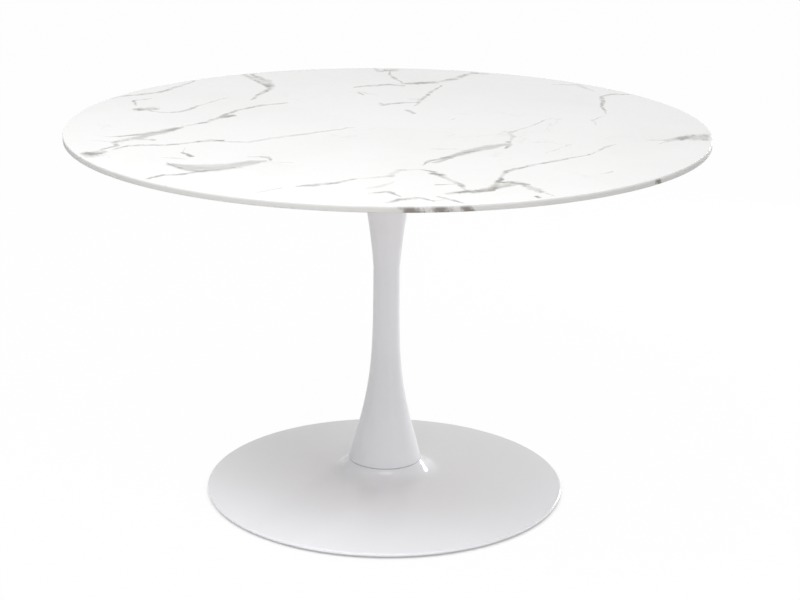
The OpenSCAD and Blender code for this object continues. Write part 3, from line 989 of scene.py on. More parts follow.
def polished_marble(settings):
    """White marble: veins of three strengths, soft clouds, a faint net of hair lines, a cut edge and
    underside greyer partly as the stone's body and partly as painted shade.
    """
    material, tree, surface, point = start_material("polished_marble", IOR=1.5)
    stroke = vein_stroke_group()
    long_bend = aim(tree, "SUBTRACT", grain(tree, point, 11.0, 3.0, 0.55, out=1), (0.5, 0.5, 0.5))
    short_kink = aim(tree, "SUBTRACT", grain(tree, point, 48.0, 3.0, 0.6, out=1), (0.5, 0.5, 0.5))
    long_bend = aim(tree, "SCALE", long_bend, 2.2 * settings.wander)
    short_kink = aim(tree, "SCALE", short_kink, 1.3 * settings.wander)
    wandered = aim(tree, "ADD", point, aim(tree, "ADD", long_bend, short_kink))
    flat = aim(tree, "MULTIPLY", wandered, (1.0, 1.0, 0.0))
    height = part_of(tree, point, "Z")
    away_from_axis = aim(tree, "LENGTH", aim(tree, "MULTIPLY", point, (1.0, 1.0, 0.0)))
    face = ramp(tree, away_from_axis, SLAB_RADIUS - 0.012, SLAB_RADIUS - 0.001, 1.0, 0.0)
    # Mask of the cut edge: 0 at the polished face, rising to 1 at 6 mm below the top and staying 1 over the
    # underside. It carries the edge's painted shade and places the edge patches.
    cut_edge = ramp(tree, height, SLAB_TOP - 0.0060, SLAB_TOP - 0.0004, 1.0, 0.0)

    ragged = calc(tree, "MULTIPLY_ADD", grain(tree, point, 110.0, 4.0, 0.75), 3.4, -1.7)
    pulse = ramp(tree, grain(tree, point, 32.0, 3.0, 0.6), 0.38, 0.60, 0.38, 1.0)
    marks = None
    for courses, strength, tip in VEIN_KINDS:
        away = calc(tree, "ADD", nearest_vein(tree, stroke, flat, courses, tip), ragged)
        mark = ramp(tree, away, 0.4, 2.2, strength, 0.0)
        marks = mark if marks is None else calc(tree, "MAXIMUM", marks, mark)
    marks = calc(tree, "MULTIPLY", calc(tree, "MULTIPLY", marks, pulse), face)

    streaks = grain(tree, stretched(tree, wandered, (16.0, 60.0, 30.0)), 1.0, 4.0, 0.6, 0.4)
    frayed = calc(tree, "MULTIPLY_ADD", streaks, 1.6, -0.8)
    away = calc(tree, "ADD", nearest_vein(tree, stroke, flat, CLOUDS), frayed)
    cloud = ramp(tree, away, 0.5, 1.35, 1.0, 0.0)
    cloud = calc(tree, "MULTIPLY", cloud, ramp(tree, streaks, 0.30, 0.6, 0.60, 1.0))
    cloud = calc(tree, "MULTIPLY", cloud, face)

    lean = calc(tree, "SUBTRACT", height, (SLAB_LOW + SLAB_TOP) / 2)
    lean = calc(tree, "MULTIPLY", lean, settings.rim_lean)
    leaning = aim(tree, "ADD", flat, aim(tree, "SCALE", (1.0, 0.0, 0.0), lean))
    rim = None
    for x, y, width in RIM_VEINS:
        away = aim(tree, "MULTIPLY", aim(tree, "SUBTRACT", leaning, (x, y, 0.0)), (1.0, 0.5, 0.0))
        away = calc(tree, "DIVIDE", aim(tree, "LENGTH", away), width / 1000)
        rim = away if rim is None else calc(tree, "MINIMUM", rim, away)
    rim = calc(tree, "MULTIPLY", ramp(tree, calc(tree, "ADD", rim, ragged), 0.4, 1.7, 0.85, 0.0), cut_edge)
    rim = calc(tree, "MULTIPLY", rim, ramp(tree, away_from_axis, SLAB_RADIUS - 0.006, SLAB_RADIUS - 0.002))

    lines = calc(tree, "ABSOLUTE", calc(tree, "SUBTRACT", grain(tree, flat, 4.2, 5.0, 0.55, 0.5), 0.5))
    hair = ramp(tree, lines, 0.0, 0.010, 1.0, 0.0)
    hair = calc(tree, "MULTIPLY", hair, ramp(tree, grain(tree, point, 3.3, 2.0), 0.50, 0.66, 0.0, 0.26))
    tone = ramp(tree, grain(tree, flat, 3.0, 4.0, 0.6), 0.40, 0.75, 0.0, 0.10)

    colour = blend(tree, tone, rgba(settings.stone), rgba(settings.cloud))
    colour = blend(tree, hair, colour, rgba(settings.cloud))
    colour = blend(tree, cloud, colour, rgba(settings.cloud))
    colour = blend(tree, marks, colour, rgba(settings.vein))
    # Painted shade, partly the stone's greyer body: the cut edge and underside take the greyer edge colour,
    # which fades in down the upper 6 mm of the edge so the edge darkens towards the bottom.
    body = blend(tree, calc(tree, "MULTIPLY", tone, 2.0), rgba(settings.edge), rgba(settings.cloud))
    colour = blend(tree, cut_edge, colour, body)
    colour = blend(tree, rim, colour, rgba(settings.rim))
    rough = ramp(tree, height, SLAB_TOP - 0.0016, SLAB_TOP - 0.0002, 0.80, 0.16)
    polish = calc(tree, "MULTIPLY_ADD", grain(tree, point, 45.0, 3.0), 0.06, rough)
    shade(tree, surface, Base_Color=colour, Roughness=calc(tree, "MULTIPLY_ADD", marks, 0.06, polish))
    bumped(tree, surface, grain(tree, point, 240.0, 2.0), 0.05, 0.0002)
    return material


def white_paint(name, colour, smooth, dull):
    """White paint over spun steel: faint orange peel, faint unevenness of the spun sheet."""
    material, tree, surface, point = start_material(name, Specular_IOR_Level=0.35)
    tone = grain(tree, point, 7.0, 3.0)
    paler = tuple(min(1.0, c * 1.02) for c in colour)
    shade(tree, surface, Base_Color=blend(tree, tone, rgba(colour), rgba(paler)))
    shade(tree, surface, Roughness=ramp(tree, grain(tree, point, 60.0, 3.0), 0.3, 0.7, smooth, dull))
    peel = calc(tree, "MULTIPLY_ADD", grain(tree, point, 12.0, 1.0), 4.0, grain(tree, point, 420.0, 2.0))
    bumped(tree, surface, peel, 0.10, 0.00002)
    return material


def birch_plywood(name, low, high):
    """Birch plywood: long face grain, and pale and brown plies on the edge."""
    plies = 11
    material, tree, surface, point = start_material(name)
    height = part_of(tree, point, "Z")
    level = calc(tree, "MULTIPLY", calc(tree, "SUBTRACT", height, low), plies / (high - low))
    ply = ramp(tree, calc(tree, "PINGPONG", level, 1.0), 0.35, 0.65)
    long = grain(tree, stretched(tree, point, (3.0, 42.0, 300.0)), 1.0, 5.0, 0.6, 0.8)
    fibre = grain(tree, stretched(tree, point, (20.0, 600.0, 900.0)), 1.0, 3.0)
    figure = calc(tree, "MULTIPLY_ADD", fibre, 0.3, calc(tree, "MULTIPLY", long, 0.8))
    wood = blend(tree, figure, (0.50, 0.34, 0.19, 1.0), (0.74, 0.58, 0.38, 1.0))
    wood = blend(tree, calc(tree, "MULTIPLY", ply, 0.35), wood, (0.36, 0.22, 0.12, 1.0))
    shade(tree, surface, Base_Color=wood, Roughness=ramp(tree, fibre, 0.3, 0.7, 0.5, 0.72))
    bumped(tree, surface, figure, 0.25, 0.0003)
    return material


def powder_coat(name):
    """Black powder coat: fine pebbled skin, a little dust-grey in its hollows."""
    material, tree, surface, point = start_material(name, Coat_Weight=0.1)
    pebble = grain(tree, point, 900.0, 3.0, 0.6)
    dust = calc(tree, "MULTIPLY", grain(tree, point, 14.0, 3.0), 0.6)
    tone = calc(tree, "MULTIPLY_ADD", pebble, 0.4, dust)
    shade(tree, surface, Base_Color=blend(tree, tone, (0.018, 0.018, 0.02, 1.0), (0.06, 0.06, 0.063, 1.0)))
    shade(tree, surface, Roughness=ramp(tree, tone, 0.3, 0.7, 0.42, 0.62))
    bumped(tree, surface, pebble, 0.35, 0.00015)
    return material


def plated_steel(name):
    """Bright zinc on steel: cool and faintly yellow patches under fine drawing marks."""
    material, tree, surface, point = start_material(name, Metallic=1.0)
    patch = grain(tree, point, 90.0, 3.0, 0.6)
    marks = grain(tree, stretched(tree, point, (260.0, 260.0, 1800.0)), 1.0, 3.0)
    colour = blend(tree, patch, (0.60, 0.64, 0.70, 1.0), (0.72, 0.71, 0.63, 1.0))
    colour = blend(tree, calc(tree, "MULTIPLY", marks, 0.25), colour, (0.42, 0.44, 0.47, 1.0))
    shade(tree, surface, Base_Color=colour, Roughness=ramp(tree, marks, 0.3, 0.7, 0.22, 0.42))
    bumped(tree, surface, marks, 0.2, 0.00005)
    return material


def mill_steel(name):
    """Bare rolled steel: blue-grey mill scale with paler rubbed places and rolling marks."""
    material, tree, surface, point = start_material(name, Metallic=1.0)
    scale = ramp(tree, grain(tree, point, 28.0, 5.0, 0.65), 0.38, 0.62)
    marks = grain(tree, stretched(tree, point, (18.0, 700.0, 300.0)), 1.0, 3.0)
    colour = blend(tree, scale, (0.20, 0.21, 0.235, 1.0), (0.40, 0.40, 0.41, 1.0))
    colour = blend(tree, calc(tree, "MULTIPLY", marks, 0.3), colour, (0.14, 0.13, 0.13, 1.0))
    shade(tree, surface, Base_Color=colour, Roughness=ramp(tree, scale, 0.0, 1.0, 0.52, 0.36))
    bumped(tree, surface, calc(tree, "MULTIPLY_ADD", marks, 0.5, scale), 0.2, 0.0001)
    return material


def turned_brass(name):
    """Brass off the lathe: fine turning lines and a warm tarnish."""
    material, tree, surface, point = start_material(name, Metallic=1.0)
    lines = grain(tree, stretched(tree, point, (90.0, 90.0, 2600.0)), 1.0, 2.0)
    tarnish = ramp(tree, grain(tree, point, 120.0, 4.0), 0.35, 0.7)
    shade(tree, surface, Base_Color=blend(tree, tarnish, (0.83, 0.62, 0.27, 1.0), (0.56, 0.37, 0.14, 1.0)))
    shade(tree, surface, Roughness=ramp(tree, tarnish, 0.0, 1.0, 0.24, 0.44))
    bumped(tree, surface, lines, 0.3, 0.00005)
    return material


def black_rubber(name):
    """Black rubber: dull, fine-pored, a little bloom."""
    material, tree, surface, point = start_material(name, Specular_IOR_Level=0.35)
    pores = grain(tree, point, 1400.0, 2.0)
    bloom = ramp(tree, grain(tree, point, 60.0, 4.0), 0.45, 0.8)
    colour = blend(tree, bloom, (0.022, 0.022, 0.023, 1.0), (0.06, 0.06, 0.058, 1.0))
    shade(tree, surface, Base_Color=colour, Roughness=ramp(tree, pores, 0.3, 0.7, 0.6, 0.8))
    bumped(tree, surface, pores, 0.3, 0.0001)
    return material


def moulded_nylon(name):
    """Black moulded nylon: fine spark texture, scuffed pale low down where it meets the floor."""
    material, tree, surface, point = start_material(name)
    spark = grain(tree, point, 1100.0, 3.0, 0.6)
    height = part_of(tree, point, "Z")
    scuff = ramp(tree, grain(tree, point, 300.0, 4.0), 0.45, 0.6)
    scuff = calc(tree, "MULTIPLY", ramp(tree, height, 0.0, 0.0015, 1.0, 0.0), scuff)
    shade(tree, surface, Base_Color=blend(tree, scuff, (0.03, 0.03, 0.031, 1.0), (0.12, 0.12, 0.118, 1.0)))
    shade(tree, surface, Roughness=ramp(tree, spark, 0.3, 0.7, 0.42, 0.6))
    bumped(tree, surface, spark, 0.3, 0.0001)
    return material


def weld_steel(name):
    """Weld metal: dark, heat-tinted straw and blue along the bead."""
    material, tree, surface, point = start_material(name, Metallic=1.0)
    heat = grain(tree, point, 55.0, 3.0, 0.6)
    colour = blend(tree, ramp(tree, heat, 0.35, 0.65), (0.16, 0.17, 0.23, 1.0), (0.42, 0.33, 0.20, 1.0))
    shade(tree, surface, Base_Color=colour, Roughness=ramp(tree, heat, 0.3, 0.7, 0.35, 0.55))
    bumped(tree, surface, grain(tree, point, 800.0, 2.0), 0.3, 0.0001)
    return material


def finish_named(name, settings):
    """The finish of that name, made the first time that it is asked for."""
    made = bpy.data.materials.get(name)
    if made:
        return made
    if name == "polished_marble":
        return polished_marble(settings.tabletop)
    if name == "gloss_paint":
        return white_paint(name, settings.paint.paint, 0.12, 0.17)
    if name == "satin_paint":
        return white_paint(name, settings.paint.paint, 0.36, 0.42)
    if name == "birch_plywood":
        _, low, high = span("backer_board")
        return birch_plywood(name, low, high)
    makers = {
        "powder_coat": powder_coat,
        "plated_steel": plated_steel,
        "mill_steel": mill_steel,
        "turned_brass": turned_brass,
        "black_rubber": black_rubber,
        "moulded_nylon": moulded_nylon,
        "weld_steel": weld_steel,
    }
    return makers[name](name)


# ---------------------------------------------------------------- operators

class MakeTabletop(Operator):
    """Make the marble slab and the plywood board glued under it"""
    bl_idname = "pedestal_table.make_tabletop"
    bl_label = "Tabletop"

    def execute(self, context):
        settings = context.scene.pedestal_table
        top = settings.tabletop
        radius = top.diameter / 2
        rings = [radius * share for share in (0.9, 0.7, 0.5, 0.3, 0.12)]
        marble, birch = finish_named("polished_marble", settings), finish_named("birch_plywood", settings)
        outline = eased(
            [
                (0.0, SLAB_LOW, 0),
                (radius, SLAB_LOW, top.lower_round),
                (radius, SLAB_TOP, top.upper_round),
                *((r, SLAB_TOP, 0) for r in rings),
                (0.0, SLAB_TOP, 0),
            ],
            6,
        )
        slab = turned("marble_slab", outline, marble, SLAB_STEPS)
        finish_piece(slab, "table", "marbled_stone", "stone_top")
        board = softened("plywood_board", "backer_board", settings.hardware.ease, birch)
        finish_piece(board, "table", "plywood", "backer_board")
        return {"FINISHED"}


class MakeColumn(Operator):
    """Make the trumpet-shaped column from its rule, with its end discs and the gasket under its foot"""
    bl_idname = "pedestal_table.make_column"
    bl_label = "Column"

    def execute(self, context):
        settings = context.scene.pedestal_table
        shape = settings.column
        column = run_tree(
            new_piece("trumpet_column"),
            tree_named("Trumpet Wall", tree_named("Trumpet Radius")),
            Foot_Radius=shape.foot / 2,
            Waist_Radius=shape.waist / 2,
            Head_Radius=shape.head / 2,
            Foot_Height=COLUMN_LOW,
            Waist_Height=shape.waist_height,
            Head_Height=COLUMN_TOP,
            Foot_Power=shape.foot_power,
            Foot_Ease=shape.foot_ease,
            Head_Power=shape.head_power,
            Wall=shape.wall,
            Material=finish_named("satin_paint", settings),
        )
        finish_piece(column, "table", "white_paint", "column_shell")
        steel = finish_named("mill_steel", settings)
        for end in ("head", "foot"):
            node = f"column_{end}_disc"
            plate = softened(f"column_{end}_plate", node, settings.hardware.ease, steel)
            finish_piece(plate, "table", "bare_steel", node)
        section = ring_section(ROD_RADIUS + ROD_ROOM, GASKET_RADIUS, GASKET_LOW, GASKET_TOP, 0.0003)
        gasket = turned("rubber_gasket", section, finish_named("black_rubber", settings))
        finish_piece(gasket, "table", "gasket_rubber", "foot_gasket")
        return {"FINISHED"}


def arc(centre, radius, start, end, steps):
    """Points of an arc, its angles in radians."""
    turns = [start + (end - start) * i / steps for i in range(steps + 1)]
    return [(centre[0] + radius * math.cos(t), centre[1] + radius * math.sin(t)) for t in turns]


def dish_outline(shape, foot_radius, bore):
    """The dish's closed outline: collar, bend, cove, cone, rolled rim and lip, all of one even sheet."""
    slope = shape.cove_slope
    upright = math.pi / 2 - slope
    bend = (
        foot_radius + shape.collar_step - shape.collar_bend * math.cos(upright),
        DISH_TOP - shape.collar_bend,
    )
    reach = shape.collar_bend + shape.cove_radius
    cove = (bend[0] + reach * math.sin(slope), bend[1] + reach * math.cos(slope))
    rim = (shape.diameter / 2 - shape.rim_roll, DISH_LOW + shape.rim_roll)
    across, rise = cove[0] - rim[0], cove[1] - rim[1]
    tangent = (shape.cove_radius + shape.rim_roll) / math.hypot(across, rise)
    lean = math.atan2(rise, across) - math.acos(tangent)

    def skin(offset):
        """The sheet's surface at an offset inwards, from the rim's underside up to the collar."""
        lip = (rim[0] - shape.rim_lip + shape.rim_roll, DISH_LOW + offset)
        return [
            lip,
            *arc(rim, shape.rim_roll - offset, -math.pi / 2, lean, 20),
            *reversed(arc(cove, shape.cove_radius + offset, math.pi + upright, math.pi + lean, 28)),
            *reversed(arc(bend, shape.collar_bend - offset, math.pi / 2, upright, 8)),
            (bore, DISH_TOP - offset),
        ]

    outer = skin(0.0)
    inner = skin(shape.wall)
    return [*outer, *reversed(inner), outer[0]]


class MakeDish(Operator):
    """Make the spun dish of the base"""
    bl_idname = "pedestal_table.make_dish"
    bl_label = "Dish"

    def execute(self, context):
        settings = context.scene.pedestal_table
        outline = dish_outline(settings.dish, settings.column.foot / 2, ROD_RADIUS + ROD_ROOM)
        dish = turned("spun_dish", outline, finish_named("gloss_paint", settings), DISH_STEPS)
        finish_piece(dish, "table", "white_paint", "base_shell")
        return {"FINISHED"}


class MakePlates(Operator):
    """Make the top plate, the ballast plate and the hub with its welds"""
    bl_idname = "pedestal_table.make_plates"
    bl_label = "Plates and Hub"

    def execute(self, context):
        settings = context.scene.pedestal_table
        ease = settings.hardware.ease
        coat, steel = finish_named("powder_coat", settings), finish_named("mill_steel", settings)
        for name, node in (("steel_top_plate", "top_plate"), ("steel_ballast", "ballast_plate")):
            finish_piece(softened(name, node, ease, coat), "table", "black_steel", node)
        for name, node in (("hub_cap", "hub_disc"), ("hub_sleeve", "hub_tube")):
            finish_piece(softened(name, node, ease, steel), "table", "bare_steel", node)
        weld = finish_named("weld_steel", settings)
        bead_radius, bead_inset = 0.0022, 0.0006
        beads = [
            run_tree(
                new_piece(f"weld_{height:.3f}"), tree_named("Weld Bead"),
                Circle_Diameter=2 * HUB_RADIUS, Height=height, Bead_Radius=bead_radius, Material=weld,
            )
            for height in (HUB_LOW + bead_inset, HUB_TOP - bead_inset)
        ]
        bead = joined(*beads)
        bead.name = bead.data.name = "hub_weld_beads"
        finish_piece(bead, "table", "bare_steel")
        return {"FINISHED"}


def small_form(name, corners, material, steps=SMALL_STEPS, **extra):
    """A small piece turned on the axis from corners."""
    return turned(name, eased(corners, 3), material, steps, **extra)


def hex_socket(face, depth, flats, rim, inward=1.0):
    """A hexagonal socket sunk into a head's face, from its bottom's centre out to the head's rim."""
    half = flats / 2
    floor = face + inward * depth
    return [
        (0.0, floor + inward * half * 0.3, 0), (half * 0.92, floor, 0, 1),
        (half, floor - inward * 0.0002, 0, 1), (half, face + inward * 0.0003, 0, 1),
        (half * 1.22, face, 0, 0), (rim, face, 0.0008),
    ]


class MakeScrews(Operator):
    """Make the rings of screws, washers and threaded inserts that hold the tabletop"""
    bl_idname = "pedestal_table.make_screws"
    bl_label = "Tabletop Screws"

    def execute(self, context):
        settings = context.scene.pedestal_table
        hardware = settings.hardware
        zinc, brass = finish_named("plated_steel", settings), finish_named("turned_brass", settings)
        circle, count = hardware.plate_screw_circle, hardware.plate_screws
        _, face, tip = span("plate_screws")
        _, seat, washer_top = span("plate_washers")

        head_radius, core, crest, pitch = 0.006, 0.0025, 0.003, 0.001
        screw = small_form(
            "plate_screw_set",
            [
                *hex_socket(face, 0.0022, 0.004, head_radius - 0.0004),
                (head_radius, face + 0.0008, 0.0006), (head_radius, seat, 0.0002), (core, seat, 0),
                (core, tip - 0.0006, 0), (0.0018, tip, 0), (0.0, tip, 0),
            ],
            zinc,
        )
        joined(screw, thread("screw_thread", crest, pitch, seat + 0.002, tip - 0.0003, zinc, 18))
        ring_of(screw, count, circle, zinc)
        finish_piece(shaded(screw), "table", "zinc_steel", "plate_screws")

        section = ring_section(0.0033, 0.0066, seat, washer_top, 0.0003)
        washer = turned("plate_washer_set", section, zinc, SMALL_STEPS)
        finish_piece(ring_of(washer, count, circle, zinc), "table", "zinc_steel", "plate_washers")

        _, low, high = span("insert_nuts")
        flange, middle, core, bore, crest, pitch = 0.007, 0.005, 0.0044, 0.0031, 0.005, 0.002
        flange_top = low + 0.0015
        insert = small_form(
            "brass_insert_set",
            [
                (middle, low, 0), (flange - 0.0002, low, 0.0003), (flange, flange_top, 0.0003),
                (core, flange_top, 0), (core, high - 0.0008, 0), (0.004, high, 0),
                (bore + 0.0005, high, 0), (bore, high - 0.0005, 0), (bore, low + 0.0005, 0),
                (bore + 0.0005, low, 0), (middle, low, 0),
            ],
            brass,
        )
        joined(insert, thread("insert_thread", crest, pitch, flange_top, high - 0.0004, brass, 18))
        ring_of(insert, count, circle, brass)
        finish_piece(shaded(insert), "table", "brass", "insert_nuts")

        _, tip, face = span("head_screws")
        core, crest, pitch, cone = 0.0034, 0.004, 0.00125, face - 0.004
        sunk = reversed(hex_socket(face, 0.0024, 0.004, 0.0065, -1.0))
        screw = small_form(
            "countersunk_screw_set",
            [
                (0.0, tip, 0), (0.0026, tip, 0), (core, tip + 0.0008, 0), (core, face - 0.0042, 0),
                (crest, cone, 0), (0.0079, face - 0.0003, 0.0001), (0.0077, face, 0),
                *((r, z, 0, *marks) for r, z, _, *marks in sunk),
            ],
            zinc,
        )
        joined(screw, thread("countersunk_thread", crest, pitch, tip + 0.0003, cone, zinc, 18))
        ring_of(screw, hardware.head_screws, hardware.head_screw_circle, zinc)
        finish_piece(shaded(screw), "table", "zinc_steel", "head_screws")
        return {"FINISHED"}


class MakeTieRod(Operator):
    """Make the threaded rod down the column with its nuts and washers"""
    bl_idname = "pedestal_table.make_tie_rod"
    bl_label = "Tie Rod"

    def execute(self, context):
        settings = context.scene.pedestal_table
        zinc, steel = finish_named("plated_steel", settings), finish_named("mill_steel", settings)
        pitch, threaded, chamfer = 0.00175, 0.035, 0.001
        core = ROD_RADIUS - pitch * 0.6
        outline = eased(
            [
                (0.0, ROD_LOW, 0), (core - chamfer, ROD_LOW, 0), (core, ROD_LOW + chamfer, 0),
                (core, ROD_LOW + threaded, 0), (ROD_RADIUS, ROD_LOW + threaded + chamfer, 0),
                (ROD_RADIUS, ROD_TOP - threaded - chamfer, 0), (core, ROD_TOP - threaded, 0),
                (core, ROD_TOP - chamfer, 0), (core - chamfer, ROD_TOP, 0), (0.0, ROD_TOP, 0),
            ]
        )
        rod = joined(
            turned("threaded_rod", outline, zinc, SMALL_STEPS),
            thread("rod_thread_low", ROD_RADIUS, pitch, ROD_LOW + 0.0002, ROD_LOW + threaded, zinc, 32),
            thread("rod_thread_high", ROD_RADIUS, pitch, ROD_TOP - threaded, ROD_TOP - 0.0002, zinc, 32),
        )
        finish_piece(shaded(rod), "table", "zinc_steel", "tie_rod")
        for name, node in (("upper_rod_nut", "top_nut"), ("lower_rod_nut", "bottom_nut")):
            _, low, high = span(node)
            nut = turned(name, nut_section(ROD_RADIUS + 0.00005, 3 * ROD_RADIUS, low, high), zinc)
            finish_piece(nut, "table", "zinc_steel", node)
        for name, node in (("upper_rod_washer", "top_washer"), ("lower_rod_washer", "bottom_washer")):
            radius, low, high = span(node)
            washer = turned(name, ring_section(ROD_RADIUS + ROD_ROOM, radius, low, high, 0.0004), zinc)
            finish_piece(washer, "table", "zinc_steel", node)
        spring = softened("rod_spring_washer", "bottom_lock_washer", 0.0003, steel)
        finish_piece(spring, "table", "bare_steel", "bottom_lock_washer")
        return {"FINISHED"}


class MakeGlides(Operator):
    """Make the weld nuts and the six levelling glides"""
    bl_idname = "pedestal_table.make_glides"
    bl_label = "Levelling Glides"

    def execute(self, context):
        settings = context.scene.pedestal_table
        hardware = settings.hardware
        zinc, nylon = finish_named("plated_steel", settings), finish_named("moulded_nylon", settings)
        first_low, first_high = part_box("glide_stud_1")
        first_middle = (first_low + first_high) / 2
        circle = 2 * math.hypot(first_middle.x, first_middle.y)
        _, low, high = span("glide_nuts")
        crest, core, pitch = 0.004, 0.0033, 0.00125
        nuts = turned("weld_nut_set", nut_section(crest + 0.00005, 0.013, low, high), zinc, SMALL_STEPS)
        ring_of(nuts, len(GLIDES), circle, zinc)
        finish_piece(shaded(nuts), "table", "zinc_steel", "glide_nuts")

        for glide in GLIDES:
            number = glide.rpartition("_")[2]
            stud_node, pad_node = f"glide_stud_{number}", f"glide_pad_{number}"
            low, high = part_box(stud_node)
            place = Matrix.Translation(((low.x + high.x) / 2, (low.y + high.y) / 2, 0.0))
            bottom, top = low.z, high.z
            flange, flange_top = 0.007, bottom + 0.0015
            outline = eased(
                [
                    (0.0, bottom, 0), (flange, bottom, 0.0002), (flange, flange_top, 0.0002),
                    (core, flange_top, 0), (core, top - 0.0008, 0), (core - 0.0008, top, 0), (0.0, top, 0),
                ]
            )
            stud = joined(
                turned(f"glide_stud_rod_{number}", outline, zinc, SMALL_STEPS),
                thread(f"glide_thread_{number}", crest, pitch, bottom + 0.0028, top - 0.0002, zinc),
            )
            stud.data.transform(place)
            finish_piece(shaded(stud), glide, "zinc_steel", stud_node)

            radius, bottom, top = span(pad_node)
            hollow, ease, bore, bore_floor = bottom + 0.0004, 0.0003, crest + 0.0003, top - 0.0012
            pad = small_form(
                f"glide_foot_{number}",
                [
                    (0.0, hollow, 0), (radius * 0.55, hollow, ease), (radius * 0.62, bottom, ease),
                    (radius - 0.001, bottom, ease), (radius, bottom + 0.001, ease, 0, 1),
                    (radius, top - 0.001, ease, 0, 1), (radius - 0.001, top, ease), (bore, top, 0.0002),
                    (bore, bore_floor, 0), (0.0, bore_floor, 0),
                ],
                nylon,
                steps=4 * hardware.glide_ribs,
                Rib_Count=hardware.glide_ribs,
                Rib_Depth=hardware.glide_rib_depth,
            )
            pad.data.transform(place)
            finish_piece(pad, glide, "glide_plastic", pad_node)
        return {"FINISHED"}


def seen_directly(tree):
    """1 for what the camera, a reflection or a clear surface looks at, else 0."""
    path = tree.nodes.new("ShaderNodeLightPath")
    seen = path.outputs["Is Camera Ray"]
    for kind in ("Is Glossy Ray", "Is Transmission Ray"):
        seen = calc(tree, "MAXIMUM", seen, path.outputs[kind])
    return seen


def studio_floor(colour):
    """The floor's pale material, nearly white to look at and darker close under the table."""
    material, tree, surface, point = start_material("studio_floor", Roughness=0.7)
    worn = blend(tree, grain(tree, point, 1.5, 4.0), rgba(colour), rgba(tuple(c * 0.98 for c in colour)))
    shade(tree, surface, Base_Color=worn)
    glow = wire(tree, "ShaderNodeEmission", {"Color": (1.0, 1.0, 1.0, 1.0), "Strength": 1.0})
    seen = seen_directly(tree)
    shadow_reach, shadowed, lit = 0.02, 0.3, 0.98
    open_sky = wire(tree, "ShaderNodeAmbientOcclusion", {"Distance": shadow_reach}, out=1, samples=8)
    open_floor = ramp(tree, open_sky, 0.35, 0.80, shadowed, lit)
    share = calc(tree, "MULTIPLY", seen, open_floor)
    mixed = wire(tree, "ShaderNodeMixShader", {0: share, 1: surface.outputs[0], 2: glow})
    out = next(n for n in tree.nodes if n.type == "OUTPUT_MATERIAL")
    tree.links.new(mixed, out.inputs["Surface"])
    return material


def studio_world(ambient):
    """Even white surroundings: strength 1 where they are looked at, the ambient strength as light."""
    world = bpy.data.worlds.new("Studio")
    world.use_nodes = True
    tree = world.node_tree
    tree.nodes.clear()
    strength = calc(tree, "MULTIPLY_ADD", seen_directly(tree), 1.0 - ambient, ambient)
    sky = wire(tree, "ShaderNodeBackground", {"Color": (1.0, 1.0, 1.0, 1.0), "Strength": strength})
    out = tree.nodes.new("ShaderNodeOutputWorld")
    tree.links.new(sky, out.inputs["Surface"])
    return world


def soft_lamp(name, place, target, width, height, power):
    """An area lamp that faces a target."""
    lamp = bpy.data.lights.new(name, "AREA")
    lamp.shape, lamp.size, lamp.size_y, lamp.energy = "RECTANGLE", width, height, power
    holder = bpy.data.objects.new(name, lamp)
    bpy.context.scene.collection.objects.link(holder)
    holder.location = place
    holder.rotation_euler = (Vector(target) - Vector(place)).to_track_quat("-Z", "Y").to_euler()
    holder.visible_camera = False
    return holder


# The lamps: name, place, what each one faces, its width and height, and the setting that holds its power.
LAMPS = (
    ("Left Light", (-1.3, -1.3, 3.2), (-0.2, -0.2, 0.2), 1.2, 1.2, "left_power"),
    ("Front Light", (0.15, -2.35, 3.2), (0, -0.1, 0.4), 2.0, 1.5, "front_power"),
    ("Strip Light", (1.6, 1.95, 0.6), (0, 0, 0.2), 0.3, 1.0, "strip_power"),
    ("Low Light", (1.8, -2.6, 0.15), (0, 0, 0.4), 1.2, 0.25, "low_power"),
    ("Right Light", (2.6, 0.3, 0.2), (0, 0, 0.4), 1.0, 0.35, "right_power"),
)


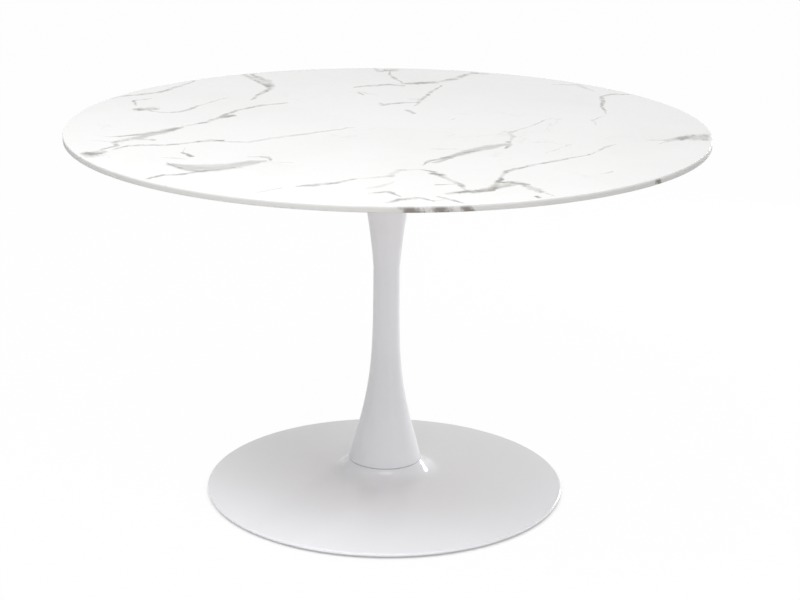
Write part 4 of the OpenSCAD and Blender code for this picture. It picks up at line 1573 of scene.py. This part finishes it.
class MakeStage(Operator):
    """Make the floor, the surroundings, the lamps and the camera"""
    bl_idname = "pedestal_table.make_stage"
    bl_label = "Stage"

    def execute(self, context):
        scene = context.scene
        settings = scene.pedestal_table
        stage = settings.stage
        mesh = bpy.data.meshes.new("studio_floor")
        ground = bmesh.new()
        half_side, drop = 9.0, 0.0002
        bmesh.ops.create_grid(ground, x_segments=12, y_segments=12, size=half_side)
        bmesh.ops.translate(ground, verts=ground.verts, vec=(0, 0, -drop))
        ground.to_mesh(mesh)
        ground.free()
        floor = new_piece("studio_floor", mesh)
        mesh.materials.append(studio_floor(settings.paint.floor))
        scene.world = studio_world(stage.ambient)
        for name, place, target, width, height, power in LAMPS:
            soft_lamp(name, place, target, width, height, getattr(stage, power))

        lens = bpy.data.cameras.new("Camera")
        lens.lens, lens.sensor_width = stage.lens, 36.0
        camera = bpy.data.objects.new("Camera", lens)
        scene.collection.objects.link(camera)
        ahead = Vector((
            math.sin(stage.yaw) * math.cos(stage.pitch),
            math.cos(stage.yaw) * math.cos(stage.pitch),
            -math.sin(stage.pitch),
        ))
        level = Vector((math.cos(stage.yaw), -math.sin(stage.yaw), 0.0))
        below = ahead.cross(level)
        right = math.cos(stage.roll) * level + math.sin(stage.roll) * below
        down = -math.sin(stage.roll) * level + math.cos(stage.roll) * below
        turned_to = Matrix((right, -down, -ahead)).transposed().to_4x4()
        camera.matrix_world = Matrix.Translation(stage.camera_place) @ turned_to
        scene.camera = camera
        scene.view_settings.view_transform = "Standard"
        return {"FINISHED"}


class TablePanel(Panel):
    """Lists the pieces of the table"""
    bl_idname = "VIEW3D_PT_pedestal_table"
    bl_label = "Pedestal Table"
    bl_space_type = "VIEW_3D"
    bl_region_type = "UI"
    bl_category = "Table"

    def draw(self, context):
        settings = context.scene.pedestal_table
        for group in TableSettings.__annotations__:
            box = self.layout.box()
            box.label(text=group.capitalize())
            values = getattr(settings, group)
            for name in values.__annotations__:
                box.prop(values, name)
        for maker in MAKERS:
            self.layout.operator(maker.bl_idname)


GROUPS = (
    TabletopSettings, ColumnSettings, DishSettings, HardwareSettings, PaintSettings, StageSettings,
    TableSettings,
)
MAKERS = (MakeStage, MakeTabletop, MakeColumn, MakeDish, MakePlates, MakeScrews, MakeTieRod, MakeGlides)


def register():
    for cls in (*GROUPS, *MAKERS, TablePanel):
        bpy.utils.register_class(cls)
    bpy.types.Scene.pedestal_table = PointerProperty(type=TableSettings)


def unregister():
    del bpy.types.Scene.pedestal_table
    for cls in reversed((*GROUPS, *MAKERS, TablePanel)):
        bpy.utils.unregister_class(cls)


def main():
    """Builds everything in order."""
    register()
    for maker in MAKERS:
        group, name = maker.bl_idname.split(".")
        getattr(getattr(bpy.ops, group), name)()


if __name__ == "__main__":
    main()
